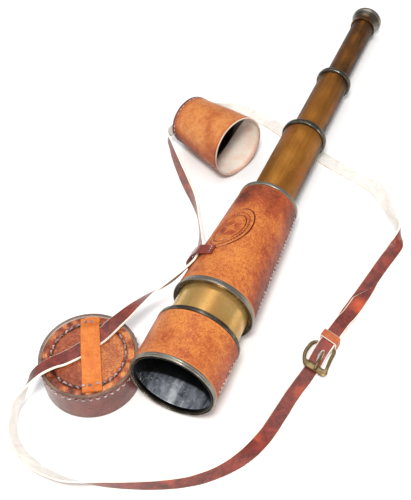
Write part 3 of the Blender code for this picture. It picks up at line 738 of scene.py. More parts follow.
def past_cup(along, drop=0.0):
    """Across the eye cap's closed end, under its band."""
    length = CLOSED_END + GAP + STRAP_THICK / 2
    place = eye_cap @ Vector((-along * MM, 0, length * MM)) / MM
    slope = math.degrees(math.asin(-eye_cap.col[2].z))
    return (place.x + FOOTPRINT_MIDDLE[0], place.y + FOOTPRINT_MIDDLE[1], place.z - drop, 90 + slope)


STRAP_ROUTE = (
    # the lower layer: out of the folded end at the buckle, along the surface
    [by_buckle(5, HEEL_HEIGHT), by_buckle(14.5, HEEL_HEIGHT), (79.1, 100.5, 2.7, 0), (79.3, 106.0, 1.4, 0),
     (80.3, 113, flat, 0), (81.7, 120, flat, 0), (84.2, 132, flat, 0), (87.3, 147, flat, 0),
     (91.0, 166, flat, 2), (94.8, 182.5, 1.6, 12),
    # it turns over to lie glazed face down
     (96.0, 190.5, 4.4, 48), (94.6, 199.0, on_edge, 86), (89.0, 207.0, 5.5, 98), (81.4, 217.5, 5.3, 112),
     (73.5, 228.0, 4.2, 132), (66.0, 236.5, 2.4, 158), (56.0, 242.0, 0.9, 178), (43.0, 246.5, flat, 180),
     (22.0, 253.5, flat, 180), (0.0, 262.5, flat, 180), (-22.0, 272.5, flat, 180), (-40.0, 280.5, flat, 180),
    # up on edge behind the eye cap and through the band on its closed end
     (-57.0, 284.0, 1.5, 171), (-70.0, 281.5, 4.6, 142), (-79.5, 274.5, 9.0, 112)]
    + [past_cup(-24, 5.0), past_cup(-12, 1.5), past_cup(0), past_cup(12)]
    + [(-105.2, 223.4, 18.6, 93), (-99.8, 216.0, 12.0, 80), (-89.8, 204.8, 7.0, 69),
       (-75.8, 189.0, 5.8, 65), (-64.0, 176.0, 6.4, 73), (-54.0, 162.5, 8.6, 85), (-45.6, 147.5, 14.5, 88),
       (-37.0, 131.0, 24.5, 82), (-29.6, 115.0, 35.0, 70)]
    + [on_barrel(103), on_barrel(96), on_barrel(89)]
    + [(-29.2, 79.5, 40.5, 64), (-35.5, 71.0, 36.5, 62), (-43.0, 62.0, 32.8, 48), (-49.5, 51.5, 30.2, 28),
       (-54.8, 41.5, 27.8, 10), (-58.2, 34.0, 26.9, 3)]
    + [over_cap(-18), over_cap(-9), over_cap(0)]
    # off the cap, rolling on edge, and round the front in one wide turn
    + [(-77.0, -3.6, 27.0, 4), (-81.9, -10.0, 28.3, 12), (-86.6, -19.3, 29.9, 24), (-89.9, -26.8, 27.2, 43),
       (-93.5, -33.2, 19.8, 70), (-96.6, -40.5, 11.0, 92), (-94.6, -49.5, 5.6, 104), (-88.7, -57.8, 4.9, 118),
       (-81.4, -63.5, 4.8, 126), (-73.0, -67.6, 4.5, 132), (-62.0, -71.0, 4.4, 134),
       (-46.0, -71.8, 4.9, 127), (-33.5, -69.4, 5.2, 116), (-20.0, -65.2, on_edge, 100),
       (-5.0, -60.0, on_edge, 90), (13.0, -52.5, on_edge, 82), (30.0, -43, on_edge, 76),
       (44.0, -30.5, 5.3, 66), (54.5, -15, 4.2, 44), (61.0, 3, 2.2, 16), (64.4, 22, flat, 2),
       (67.0, 39, flat, 0), (70.2, 53.5, flat, 0)]
    # through the buckle, over the heel bar and down to the pointed tip
    + [by_buckle(-NOSE_FROM_HEEL, 1.5), by_buckle(-14.5, 3.1), by_buckle(-9.2, 5.9), by_buckle(-4.5, 7.0),
       by_buckle(0.5, 7.3), by_buckle(6, 7.1), by_buckle(16, 6.85), by_buckle(24, 5.9), (82.6, 111.5, 5.0, 0),
       (84.4, 120, 4.1, 0), (86.0, 130.5, 3.2, 0), (87.2, 140, 2.55, 0), (87.6, 147.4, 2.4, 0)])

strap_line, strap_normals = [], []
samples = curve_points(STRAP_ROUTE, 8)
for index, (x, y, z, turn) in enumerate(samples):
    ahead = samples[min(index + 1, len(samples) - 1)]
    behind = samples[max(index - 1, 0)]
    heading = Vector([ahead[k] - behind[k] for k in range(3)]).normalized()
    outside = heading.cross(UP).normalized()
    upward = outside.cross(heading)
    angle = math.radians(turn)
    reach_down = STRAP_WIDTH / 2 * abs(math.sin(angle)) + STRAP_THICK / 2 * abs(math.cos(angle))
    strap_line.append(Vector((x - FOOTPRINT_MIDDLE[0], y - FOOTPRINT_MIDDLE[1], max(z, reach_down + 0.02))))
    strap_normals.append(upward * math.cos(angle) + outside * math.sin(angle))
TIP_LENGTH = 19.0
tip_distance = [0.0]
for a, b in zip(reversed(strap_line), list(reversed(strap_line))[1:]):
    tip_distance.append(tip_distance[-1] + (b - a).length)
tip_distance.reverse()


def slanted_tip(i):
    """Full width, then a long slant to a point at the tongue's end."""
    return max(min(tip_distance[i] / TIP_LENGTH, 1.0), 0.03)


def punch(obj, home, place, half_long, half_wide, deep, group):
    """Punch an oval hole through a piece made in the frame home; its walls get that material group."""
    points, sides = [], 24
    for z in (-deep, deep):
        for k in range(sides):
            a = math.tau * k / sides
            points.append((half_wide * math.cos(a), half_long * math.sin(a), z))
    faces = grid_faces(2, sides) + end_faces(2, sides)
    mesh = bpy.data.meshes.new("punch")
    mesh.from_pydata([Vector(p) * MM for p in points], [], faces)
    for material in obj.data.materials:
        mesh.materials.append(material)
    mesh.polygons.foreach_set("material_index", [group] * len(faces))
    right_normals(mesh)
    tool = add_object("punch", mesh)
    tool.matrix_world = place
    cut = obj.modifiers.new("hole", "BOOLEAN")
    cut.operation, cut.solver, cut.object = "DIFFERENCE", "EXACT", tool
    bpy.context.view_layer.update()
    evaluated = obj.evaluated_get(bpy.context.evaluated_depsgraph_get())
    cut_mesh = bpy.data.meshes.new_from_object(evaluated)
    obj.modifiers.clear()
    obj.data = cut_mesh
    cut_mesh.set_sharp_from_angle(angle=math.radians(50))
    inverse = home.inverted()
    for vertex, spot in zip(cut_mesh.vertices, cut_mesh.attributes["where"].data):
        spot.vector = inverse @ vertex.co / MM
    bpy.data.objects.remove(tool)


WORLD = Matrix.Identity(4)
STRAP_WORN = [(Vector((x - FOOTPRINT_MIDDLE[0], y - FOOTPRINT_MIDDLE[1], z)), reach) for x, y, z, reach in
              ((86.6, 124.0, 4.3, 6.5), (88.5, 119.5, 4.6, 4.0))]
strap = ribbon("carry_strap_leather", strap_line, strap_normals, STRAP_WIDTH, STRAP_THICK,
               [STRAP_FACE, STRAP_EDGE, STRAP_BACK], "barrel", WORLD, taper=slanted_tip,
               lean=1.0, wobble=0.04, across=9, skive=0.7, declare=False, worn=STRAP_WORN)
punch(strap, WORLD, buckle @ Matrix.Translation((1.6 * MM, -10.0 * MM, 1.0 * MM)), 4.4, 1.7, 4.0, 1)
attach(strap, "barrel")
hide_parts("carry_strap")


# ---- buckle, keeper and folded end --------------------------------------------------
NOSE_RISE = 0.5
buckle_path = ([(-6.6, 0.2, 0.0), (-2.5, 0.0, 0.0), (2.5, 0.0, 0.0), (6.4, 0.0, 0.0), (7.4, -2.0, 0.0),
                (7.9, -6.5, 0.0), (8.8, -11.5, 0.2), (9.7, -16.0, 0.4)]
               + [(x, out - NOSE_FROM_HEEL, NOSE_RISE) for x, out in
                  ((9.3, -0.5), (5.0, -0.3), (0.4, 0.0), (-4.0, 0.5))]
               + [(-7.0, 2.4 - NOSE_FROM_HEEL, 0.4), (-9.0, -13.0, 0.3), (-9.8, -8.5, 0.1),
                  (-9.3, -2.6, 0.0)])
buckle_sections = [(HEEL_R, HEEL_R)] * 4 + [(1.1, 1.2)] * 4 + [(0.9, 2.6)] * 4 + [(1.1, 1.3)] * 4
rod("buckle_frame_brass", [Vector(p) for p in curve_points(buckle_path, 6, closed=True)],
    curve_points(buckle_sections, 6, closed=True), UP, BUCKLE_BRASS, "buckle_frame", buckle,
    ["buckle_frame"], closed=True)

prong_r = 0.6
eye_r = HEEL_R + GAP + prong_r
rest_height = 1.4 + GAP + prong_r
prong_path = ([(0, eye_r * math.cos(a), eye_r * math.sin(a)) for a in
               (math.radians(d) for d in range(-100, 121, 20))]
              + [(0.5, -3.0, 1.45), (1.5, -9.0, 1.5), (2.7, 2.7 - NOSE_FROM_HEEL, rest_height),
                 (3.4, -2.2 - NOSE_FROM_HEEL, rest_height)])
prong_line = [Vector(p) for p in curve_points(prong_path, 4)]
prong_widths = [0.6] * (len(prong_path) - 4) + [0.7, 0.8, 1.1, 1.0]
prong_sections = curve_points([(wide, prong_r) for wide in prong_widths], 4)
rod("buckle_prong_brass", prong_line, prong_sections, Vector((1, 0, 0)), BUCKLE_BRASS, "buckle_prong",
    buckle, ["buckle_prong"], sides=14, square=2.2)

CHAPE_THICK, CHAPE_LENGTH = 1.0, 15.0
fold_r = HEEL_R + GAP + CHAPE_THICK / 2
chape_path = ([(0, CHAPE_LENGTH - 3 * k, fold_r) for k in range(5)]
              + [(0, fold_r * math.cos(a), fold_r * math.sin(a)) for a in
                 (math.radians(d) for d in range(90, 271, 15))]
              + [(0, 3 + 3 * k, -fold_r) for k in range(5)])
chape_line = [Vector(p) for p in curve_points(chape_path, 3)]
chape_normals = []
for index in range(len(chape_line)):
    chape_normals.append(run_at(chape_line, index).normalized().cross(Vector((1, 0, 0))) * -1)
chape = ribbon("folded_end_leather", chape_line, chape_normals, STRAP_WIDTH, CHAPE_THICK,
               [STRAP_FACE, STRAP_EDGE, STRAP_BACK], "barrel", buckle, across=9,
               corner=0.25, declare=False)
punch(chape, buckle, buckle, 3.2, 1.1, 5.0, 1)
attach(chape, "barrel")
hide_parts("strap_chape")

KEEPER_AT, KEEPER_LEAN, KEEPER_WIDTH, KEEPER_THICK = 5.5, 0.14, 6.4, 0.9
keeper_side = STRAP_WIDTH / 2 + GAP + KEEPER_THICK / 2
keeper_bottom = -HEEL_HEIGHT + KEEPER_THICK / 2 + 0.02
keeper_top = 7.25 + STRAP_THICK / 2 + GAP + KEEPER_THICK / 2 - HEEL_HEIGHT
KEEPER_CORNER = 1.0
keeper_line, keeper_normals = [], []
keeper_corners = [Vector((side * (keeper_side - KEEPER_CORNER), KEEPER_AT, height)) for side, height in
                  ((1, keeper_top - KEEPER_CORNER), (-1, keeper_top - KEEPER_CORNER),
                   (-1, keeper_bottom + KEEPER_CORNER), (1, keeper_bottom + KEEPER_CORNER))]
for corner, centre in enumerate(keeper_corners):
    for step in range(7):
        a = math.radians(90 * corner + 15 * step)
        out = Vector((math.cos(a), 0, math.sin(a)))
        keeper_line.append(centre + out * KEEPER_CORNER)
        keeper_normals.append(out)
    last, run = keeper_line[-1], keeper_corners[(corner + 1) % 4] - centre
    for step in range(1, 6):
        keeper_line.append(last + run * step / 6)
        keeper_normals.append(keeper_normals[-1])
for point in keeper_line:
    point.y -= point.x * KEEPER_LEAN
keeper = ribbon("keeper_leather", keeper_line, keeper_normals, KEEPER_WIDTH, KEEPER_THICK,
                [KEEPER, STRAP_EDGE, STRAP_BACK], "barrel", buckle, ["strap_keeper"],
                closed=True, corner=0.25)


# ---- sunshade -----------------------------------------------------------------------
def extent(outline):
    """Least and greatest radius, then least and greatest distance."""
    radii, distances = zip(*outline)
    return min(radii), max(radii), min(distances), max(distances)


def plain_turned(node, material, body, place=telescope, softness=0.25, steps=144, paint_of=None,
                 longest=3.0):
    """A CAD node's own outline, turned finely with softened corners."""
    outline = outline_of(node, place)
    outline = soften(outline, softness, closed=outline[0][0] > ON_AXIS, longest=longest)
    return turned(node + "_turned", outline, material, body, place, [node], steps=steps,
                  paint_of=paint_of)


SEAM_ANGLE = math.radians(-1)
SEAM_HALF = 3.4
SEAM_PITCH, NEEDLE_OFF_SEAM = 3.3, 2.1


def seam_ridge(angle, radius):
    """Two butted edges of hide: slightly proud, with a narrow gap between them."""
    across = np.abs(radius * wrapped(angle - SEAM_ANGLE))
    return 0.45 * smooth(1 - across / SEAM_HALF) - 0.9 * smooth(1 - across / 0.5)


def seam_ink(angle, radius, distance):
    """Dark line in the gap and dark needle holes on both sides."""
    across = np.abs(radius * wrapped(angle - SEAM_ANGLE))
    gap = smooth(1 - across / 0.55)
    beat = np.abs((distance / SEAM_PITCH + 0.5) % 1.0 - 0.5) * SEAM_PITCH
    holes = smooth(1.25 - np.hypot(across - NEEDLE_OFF_SEAM, beat) / 0.75)
    return np.clip(gap * 0.9 + holes * 0.8, 0, 1)


def seam_zones(radius):
    """Fine columns about the seam, as angles from 0 to a full turn."""
    middle_turn, half = SEAM_ANGLE % math.tau, (SEAM_HALF + 0.6) / radius
    return [(middle_turn - half, middle_turn + half, 0.2 / radius)]


def hide_waves(angle, distance, size, seed):
    """Slow unevenness of hide that was stretched over a tube."""
    total = 0.0
    for k, (turns, pitch, share) in enumerate(((2, 61, 0.4), (3, 37, 0.3), (5, 23, 0.2), (9, 11, 0.1))):
        total = total + share * np.sin(turns * angle + seed * (k + 1)) * np.sin(
            math.tau * distance / pitch + 1.7 * seed + k)
    return size * total


def sheath_angles(radius, zones=()):
    return graded(0.0, math.tau, 0.9 / radius, seam_zones(radius) + list(zones))[:-1]


def seam_stitches(start, end, radius_at):
    """Slanted stitches across the seam, and their mirror below."""
    stitches = []
    first = math.ceil(start / SEAM_PITCH) * SEAM_PITCH
    for k in range(int((end - start) / SEAM_PITCH)):
        low, high = first + k * SEAM_PITCH, first + (k + 0.62) * SEAM_PITCH
        if high > end:
            break
        for side in (-1, 1):
            spots = []
            for distance, across in ((low, side * NEEDLE_OFF_SEAM), (high, side * 0.25)):
                radius = radius_at(distance)
                a = SEAM_ANGLE + across / radius
                spots.append(around(a, radius, distance))
            out = spots[0] + spots[1]
            stitches.append((*spots, (out.x, out.y, 0)))
    return stitches


_, mouth_r, _, bezel_end = extent(outline_of("sunshade_bezel", telescope))
# Two raised beads with a groove between them, seen from the front.
bezel = [(mouth_r - 3.1, 1.2), (mouth_r - 2.9, 0.5), (mouth_r - 2.5, 0.2), (mouth_r - 2.1, 0.35),
         (mouth_r - 1.85, 1.1), (mouth_r - 1.3, 1.1), (mouth_r - 1.1, 0.3), (mouth_r - 0.75, 0.0),
         (mouth_r - 0.2, 0.15), (mouth_r, 0.6), (mouth_r, 1.5), (mouth_r - 0.25, 1.75), (mouth_r, 2.0),
         (mouth_r, bezel_end - 0.2), (mouth_r - 0.2, bezel_end), (mouth_r - 3.1, bezel_end)]
turned("sunshade_bezel_turned", soften(bezel, 0.22), PEWTER, "sunshade", telescope,
       ["sunshade_bezel"], steps=192,
       paint_of={"rub": lambda a, r, z: smooth((r - mouth_r + 1.0) / 0.7) * 0.6,
                 "age_and_shade": lambda a, r, z: 0.5 * smooth((mouth_r - 1.6 - r) / 0.6)})


# The bare metal reaches deepest at this angle, which is roughly opposite the camera.
BORE_SEEN = math.radians(262)


def bore_painted_shade(a, r, z):
    """Black beyond a curved edge, placed for the camera's view: painted shade deep in the bore.
    What it is isn't known.
    """
    aside = np.abs(wrapped(a - BORE_SEEN)) / math.radians(50)
    bare_to = 22.5 - 9 * np.minimum(aside, 1.5) ** 2
    return 0.97 * smooth((z - bare_to + 0.9) / 1.8)


# The bore is darker towards both sides and black deep inside: both are painted shade.
plain_turned("sunshade_tube", BORE, "sunshade", steps=200, longest=0.6,
             paint_of={"age_and_shade": lambda a, r, z: 0.3 * smooth((np.abs(np.cos(a)) - 0.45) / 0.5),
                       "ink_and_painted_light": bore_painted_shade})


def hide_outline(start, end, inner_at, outer_at, step, zones=(), lip=0.5, inner_steps=12):
    """A leather sleeve's outline with a dense outer side and rounded edges."""
    outer = []
    for z in graded(start + lip, end - lip, step, zones):
        outer.append((outer_at(z), z))
    first = [(outer_at(start) - lip * (1 - math.sin(a)), start + lip * (1 - math.cos(a)))
             for a in (math.radians(d) for d in (0, 30, 60))]
    last = [(outer_at(end) - lip * (1 - math.sin(a)), end - lip * (1 - math.cos(a)))
            for a in (math.radians(d) for d in (60, 30, 0))]
    inner = [(inner_at(z), z) for z in np.linspace(end, start, inner_steps + 1)]
    return first + outer + last + inner


shade_in, shade_out, shade_start, shade_end = extent(outline_of("sunshade_sheath", telescope))
shade_mid = (shade_in + shade_out) / 2


def on_skin(radius, threshold):
    """1 on a sleeve's outer side, 0 inside it."""
    return smooth((radius - threshold) / 0.3)


def shade_relief(a, r, z):
    crease = np.minimum(np.abs(z - shade_start - 1.6), np.abs(z - shade_end + 1.6))
    tooled = -0.18 * smooth(1 - crease / 0.45)
    ends = smooth(np.minimum(z - shade_start, shade_end - z) / 1.0)
    return on_skin(r, shade_mid) * (ends * (seam_ridge(a, r) + hide_waves(a, z, 0.14, 2.0)) + tooled)


# The sunshade's sheath: its darker sides are partly wear and partly painted shade; the stain is the hide's
# own.
def sunshade_age_and_shade(a, r, z):
    """Dark on both sides, as in the photo. Both areas end in a step, below and on the left."""
    right = smooth((math.radians(38) - wrapped(a)) / math.radians(34)) * (np.cos(a) > 0)
    left = smooth((wrapped(a) - math.radians(128)) / math.radians(30))
    stain = np.exp(-((wrapped(a) - 1.9) / 0.22) ** 2 - ((z - 17) / 9) ** 2)
    return 0.62 * right + 0.5 * left + 0.35 * stain - 0.25


def edge_raw(start, end, width, skin_at):
    """Bare hide along both ends of a sleeve."""
    def raw(a, r, z):
        near = np.minimum(z - start, end - z)
        return smooth(1.3 - near / width) * 0.85 * on_skin(r, skin_at(z))
    return raw


turned("sunshade_sheath_hide",
       hide_outline(shade_start, shade_end, lambda z: shade_in, lambda z: shade_out, 0.7,
                    [(shade_start, shade_start + 3, 0.25), (shade_end - 3, shade_end, 0.25)]),
       SHEATH, "sunshade", telescope, ["sunshade_sheath"],
       angles=sheath_angles(shade_out), relief=shade_relief,
       paint_of={"age_and_shade": sunshade_age_and_shade, "raw": edge_raw(shade_start, shade_end, 0.8, lambda z: shade_mid - 0.4),
                 "ink_and_painted_light": lambda a, r, z: seam_ink(a, r, z) * on_skin(r, shade_mid)})
threads("sunshade_seam_thread", seam_stitches(shade_start + 2, shade_end - 1.5, lambda z: shade_out + 0.1),
        0.5, PALE_THREAD, "sunshade", telescope)
plain_turned("sunshade_ring", PEWTER, "sunshade", steps=192, softness=0.5)

# ---- neck and objective -------------------------------------------------------------
plain_turned("objective_tube", NECK_BRASS, "barrel", steps=160)
plain_turned("objective_cell", BLACKED, "barrel")
plain_turned("objective_retaining_ring", BLACKED, "barrel")
for lens in ("objective_crown_lens", "objective_flint_lens"):
    plain_turned(lens, GLASS, "barrel", softness=0.15)

# ---- barrel -------------------------------------------------------------------------
plain_turned("barrel_flange", PEWTER, "barrel", steps=192, softness=0.4,
             paint_of={"rub": lambda a, r, z: 0.5 * smooth((r - 28.2) / 0.8)})
plain_turned("barrel_tube", INNER_BRASS, "barrel")
plain_turned("barrel_bush", INNER_BRASS, "barrel")
plain_turned("barrel_collar", PEWTER, "barrel", steps=160, softness=0.45,
             paint_of={"rub": lambda a, r, z: 0.65 + 0 * a})

# The pressed oval on the sheath: a plain compass star in a beaded border.
OVAL_AT, OVAL_ANGLE, OVAL_R = 120.3, math.radians(110), 26.0
OVAL_LONG, OVAL_SHORT, OVAL_TURN = 22.5, 13.4, math.radians(-19.6)
BEADS = 44


def oval_place(angle, distance):
    s = OVAL_R * wrapped(angle - OVAL_ANGLE)
    t = distance - OVAL_AT
    return (t * math.cos(OVAL_TURN) + s * math.sin(OVAL_TURN),
            -t * math.sin(OVAL_TURN) + s * math.cos(OVAL_TURN))


def star_height(u, v, length, width, turn):
    """A faceted star about the oval's middle."""
    best, points = 0 * u, 4
    for k in range(points):
        a = turn + math.tau * k / points
        along, across = u * math.cos(a) + v * math.sin(a), np.abs(-u * math.sin(a) + v * math.cos(a))
        room = width * (1 - along / length)
        best = np.maximum(best, np.where((along > 0) & (along < length), np.clip(1 - across / np.maximum(
            room, 0.05), 0, 1) * smooth(1.6 - along / length), 0))
    return best


def leaf_height(u, v, at_u, at_v, long, wide, turn):
    along = (u - at_u) * math.cos(turn) + (v - at_v) * math.sin(turn)
    across = -(u - at_u) * math.sin(turn) + (v - at_v) * math.cos(turn)
    return smooth(1.15 - np.hypot(along / long, across / wide)) - 0.5 * smooth(1 - np.abs(across) / 0.25) * (
        np.abs(along) < long)


def oval_relief(angle, distance):
    """Height of the pressed pattern in millimetres, below 0 where the tool sank."""
    u, v = oval_place(angle, distance)
    ring = np.hypot(u / OVAL_LONG, v / OVAL_SHORT)
    scale = np.hypot(u, v) / np.maximum(ring, 1e-4)

    def line(at, half):
        return smooth(1 - np.abs(ring - at) * scale / half)

    height = -0.42 * line(1.0, 0.75) + 0.16 * line(0.94, 0.6) - 0.34 * line(0.66, 0.6) + 0.1 * line(0.61, 0.5)
    bearing = np.arctan2(v / OVAL_SHORT, u / OVAL_LONG)
    beat = np.abs((bearing * BEADS / math.tau) % 1.0 - 0.5) * math.tau / BEADS * scale * 0.8
    height = height - 0.36 * smooth(1.2 - np.hypot(beat, (ring - 0.8) * scale) / 0.85)
    height = height - 0.30 * smooth(1.15 - np.hypot(u, v) / 8.4) * (1 - smooth(1.15 - np.hypot(u, v) / 7.6))
    height = (height + 0.34 * star_height(u, v, 7.4, 1.7, 0.0)
              + 0.22 * star_height(u, v, 4.6, 1.3, math.pi / 4))
    for side in (-1, 1):
        for spread in (2.6, 0.0, -2.6):
            height = height + 0.26 * leaf_height(u, v, side * (11.4 - 0.35 * abs(spread)), spread, 1.9, 0.85,
                                                 side * -0.35 * spread)
    return np.where(ring < 1.12, 1.9 * height, 0.0)


def barrel_relief(a, r, z):
    crease = np.minimum(np.abs(z - SHEATH_START - 1.9), np.abs(z - SHEATH_END + 1.9))
    ends = smooth(np.minimum(z - SHEATH_START, SHEATH_END - z) / 1.0)
    skin = on_skin(r, sheath_radius(z) - 0.7)
    return skin * (ends * (seam_ridge(a, r) + hide_waves(a, z, 0.2, 5.0) + oval_relief(a, z))
                   - 0.2 * smooth(1 - crease / 0.5))


# The barrel's sheath: its darker sides are partly wear and partly painted shade.
def barrel_age_and_shade(a, r, z):
    """Dark on both sides, at the rear and in stains, as in the photo, and where it was pressed."""
    turn = wrapped(a)
    right = smooth((math.radians(46) - turn) / math.radians(40)) * smooth((np.cos(a) + 0.3) / 0.5)
    left = smooth((a % math.tau - math.radians(138)) / math.radians(24)) * smooth((0.25 - np.cos(a)) / 0.4)
    rear = smooth((z - 138) / 26)
    blob = (np.exp(-((turn - 2.15) / 0.3) ** 2 - ((z - 158) / 12) ** 2)
            + 0.7 * np.exp(-((turn - 1.0) / 0.25) ** 2 - ((z - 150) / 9) ** 2)
            + 0.6 * np.exp(-((turn - 0.75) / 0.2) ** 2 - ((z - 118) / 10) ** 2)
            - 0.5 * np.exp(-((turn - 1.35) / 0.35) ** 2 - ((z - 105) / 20) ** 2))
    pressed = np.clip(-oval_relief(a, z) * 2.4, 0, 1.3) - np.clip(oval_relief(a, z), 0, 0.25)
    return 0.85 * right + 0.6 * left + 0.45 * rear + 0.55 * blob + pressed - 0.14


oval_half = (OVAL_SHORT + 7.5) / OVAL_R
turned("barrel_sheath_hide",
       hide_outline(SHEATH_START, SHEATH_END, lambda z: sheath_radius(z) - 1.5, sheath_radius, 0.8,
                    [(SHEATH_START, SHEATH_START + 3.5, 0.25), (SHEATH_END - 3.5, SHEATH_END, 0.25),
                     (OVAL_AT - 23.5, OVAL_AT + 23.5, 0.3)]),
       SHEATH, "barrel", telescope, ["barrel_sheath"],
       angles=sheath_angles(OVAL_R, zones=[(OVAL_ANGLE - oval_half, OVAL_ANGLE + oval_half, 0.3 / OVAL_R)]),
       relief=barrel_relief,
       paint_of={"age_and_shade": barrel_age_and_shade,
                 "raw": edge_raw(SHEATH_START, SHEATH_END, 0.9, lambda z: sheath_radius(z) - 1.1),
                 "ink_and_painted_light": lambda a, r, z: seam_ink(a, r, z) * on_skin(r, sheath_radius(z) - 0.7)})
threads("barrel_seam_thread",
        seam_stitches(SHEATH_START + 2.5, SHEATH_END - 2, lambda z: sheath_radius(z) + 0.1),
        0.5, PALE_THREAD, "barrel", telescope)

# The bridge of leather that holds the strap against the barrel.
LOOP_AT, LOOP_WIDTH, LOOP_THICK, LOOP_RISE, LOOP_MIDDLE = 96.0, 8.0, 1.4, 2.5, 150
loop_foot = sheath_radius(LOOP_AT - LOOP_WIDTH / 2) + GAP + LOOP_THICK / 2
loop_lift = ((-38, 0.0), (-30, 0.0), (-22, 0.5), (-15, 1.0), (-7, 1.0), (0, 1.0), (7, 1.0), (15, 1.0),
             (22, 0.5), (30, 0.0), (38, 0.0))
loop_curve = curve_points(loop_lift, 8)
loop_line, loop_normals = [], []
for turn, lift in loop_curve:
    a = math.radians(LOOP_MIDDLE + turn)
    out = around(a, 1, 0)
    loop_line.append(out * (loop_foot + LOOP_RISE * max(lift, 0)) + Vector((0, 0, LOOP_AT)))
    loop_normals.append(out)
ribbon("strap_loop_leather", loop_line, loop_normals, LOOP_WIDTH, LOOP_THICK, [LOOP, LOOP, STRAP_BACK],
       "barrel", telescope, ["strap_loop"], wobble=0.04, corner=0.4)
loop_stitches = []
for turn in (-34, 34):
    for k in range(-1, 2):
        a = math.radians(LOOP_MIDDLE + turn)
        out = around(a, 1, 0)
        surface = out * (loop_foot + LOOP_THICK / 2 + 0.08)
        loop_stitches.append((surface + Vector((0, 0, LOOP_AT + 2.1 * k - 0.7)),
                              surface + Vector((0, 0, LOOP_AT + 2.1 * k + 0.8)), out))
threads("strap_loop_thread", loop_stitches, 0.32, DARK_THREAD, "barrel", telescope)

# ---- draws --------------------------------------------------------------------------
# The draws are palest at this angle, between the top and the side where the camera stands. Their darker sides
# are partly painted shade.
PALE_SIDE = 1.4


def tube_age_and_shade(start, end, dark_end, overall):
    """Darker towards both ends and down both sides, as in the photo. Part stands for shade."""
    def age_and_shade(a, r, z):
        ends = dark_end * (smooth((z - end + 14) / 14) + 0.6 * smooth((start + 10 - z) / 10))
        sides = 0.5 * smooth((0.72 - np.cos(a - PALE_SIDE)) / 0.8) + 0.4 * smooth(
            (0.45 - wrapped(a)) / 0.6) * smooth((np.cos(a) + 0.3) / 0.6)
        rubbed = 0.25 * np.exp(-((wrapped(a) - 1.5) / 0.3) ** 2) * np.sin(z / 9.0) ** 2
        return ends + sides + overall - rubbed
    return age_and_shade


for i in range(3):
    body = f"draw_{i + 1}"
    start, end = extent(outline_of(f"draw_tube_{i + 1}", telescope))[2:]
    plain_turned(f"draw_tube_{i + 1}", TUBE_BRASS, body, steps=144, softness=0.1,
                 paint_of={"age_and_shade": tube_age_and_shade(start, end, 0.25, (0.04, 0.3, 0.6)[i])})
    plain_turned(f"draw_stop_{i + 1}", INNER_BRASS, body, steps=96)
    if i < 2:
        plain_turned(f"draw_ring_{i + 1}", PEWTER, body, steps=144, softness=0.3)

# ---- erector and eyepiece -----------------------------------------------------------
for node in ("erector_cell", "eyepiece_cell"):
    plain_turned(node, INNER_BRASS, "draw_3", steps=96)
plain_turned("aperture_stop", BLACKED, "draw_3", steps=96)
for lens in ("erector_lens_front", "erector_lens_back", "field_lens", "eye_lens"):
    plain_turned(lens, GLASS, "draw_3", steps=96, softness=0.12)
# A brass-brown patch on the narrow end, placed by the photo: a painted reflection of the brass tube.
plain_turned("eyecup", PEWTER, "draw_3", steps=144, softness=0.3, longest=0.8,
             paint_of={"rub": lambda a, r, z: 0.9 * smooth((r - 12.3) / 0.5),
                       "ink_and_painted_light": lambda a, r, z: 0.85 * smooth((417.5 - z) / 2) * smooth((r - 7.5) / 1.5)
                       * smooth((np.cos(a - 2.2) + 0.25) / 0.9)})

# ---- objective cap ------------------------------------------------------------------
CAP_INNER, CAP_R, _, cap_top = extent(outline_of("objective_cap_wall", objective_cap))
STITCH_BELOW = 3.0


def cap_wall_relief(a, r, z):
    skin = on_skin(r, CAP_R - 1.2)
    pinch = -0.16 * smooth(1 - np.abs(z - cap_top + STITCH_BELOW) / 0.9)
    bulge = 0.18 * smooth(1 - np.abs(z - 9.0) / 12.0)
    return skin * (hide_waves(a, z, 0.16, 3.0) + pinch + bulge - 0.2)


cap_outline = hide_outline(0.0, cap_top, lambda z: CAP_INNER, lambda z: CAP_R, 0.6, lip=0.5)
turned("objective_cap_wall_hide", cap_outline, CAP, "objective_cap", objective_cap,
       ["objective_cap_wall"], steps=256, relief=cap_wall_relief, materials=[CAP, CAP_RIM, STRAP_BACK],
       group_of=lambda r, z: 1 if z > cap_top - 0.12 or z < 0.1 else (2 if r < CAP_INNER + 0.2 else 0),
       paint_of={"age_and_shade": lambda a, r, z: 0.25 * smooth(1 - z / 8) + 0.2 * smooth((z - cap_top + 2) / 2)})
WALL_STITCHES = 44
threads("objective_cap_wall_thread", stitch_ring(WALL_STITCHES, 0.66, CAP_R - 0.1, cap_top - STITCH_BELOW),
        0.5, PALE_THREAD, "objective_cap", objective_cap, rise=0.8)

_, disc_r, disc_low, disc_top = extent(outline_of("objective_cap_disc", objective_cap))
RING_STITCHES, STITCH_RING_R = 34, 25.2


def disc_height(a, r):
    """The sewn groove round the top, puckered between stitches, and the lip outside it."""
    beat = np.cos(a * RING_STITCHES + 0.7 * np.sin(3 * a))
    groove = -0.85 * smooth(1 - np.abs(r - STITCH_RING_R) / (2.0 + 0.4 * beat))
    lump = 0.5 + 0.3 * beat + 0.2 * np.sin(11 * a + 1.3)
    pucker = 0.8 * smooth(1 - np.abs(r - STITCH_RING_R - 3.0) / 2.3) * lump
    inner = 0.4 * smooth(1 - np.abs(r - STITCH_RING_R + 3.0) / 2.2) * lump
    return groove + pucker + inner - 0.45 + 0.25 * hide_waves(a, r * 2, 1.0, 4.0) * smooth(1 - r / 30)


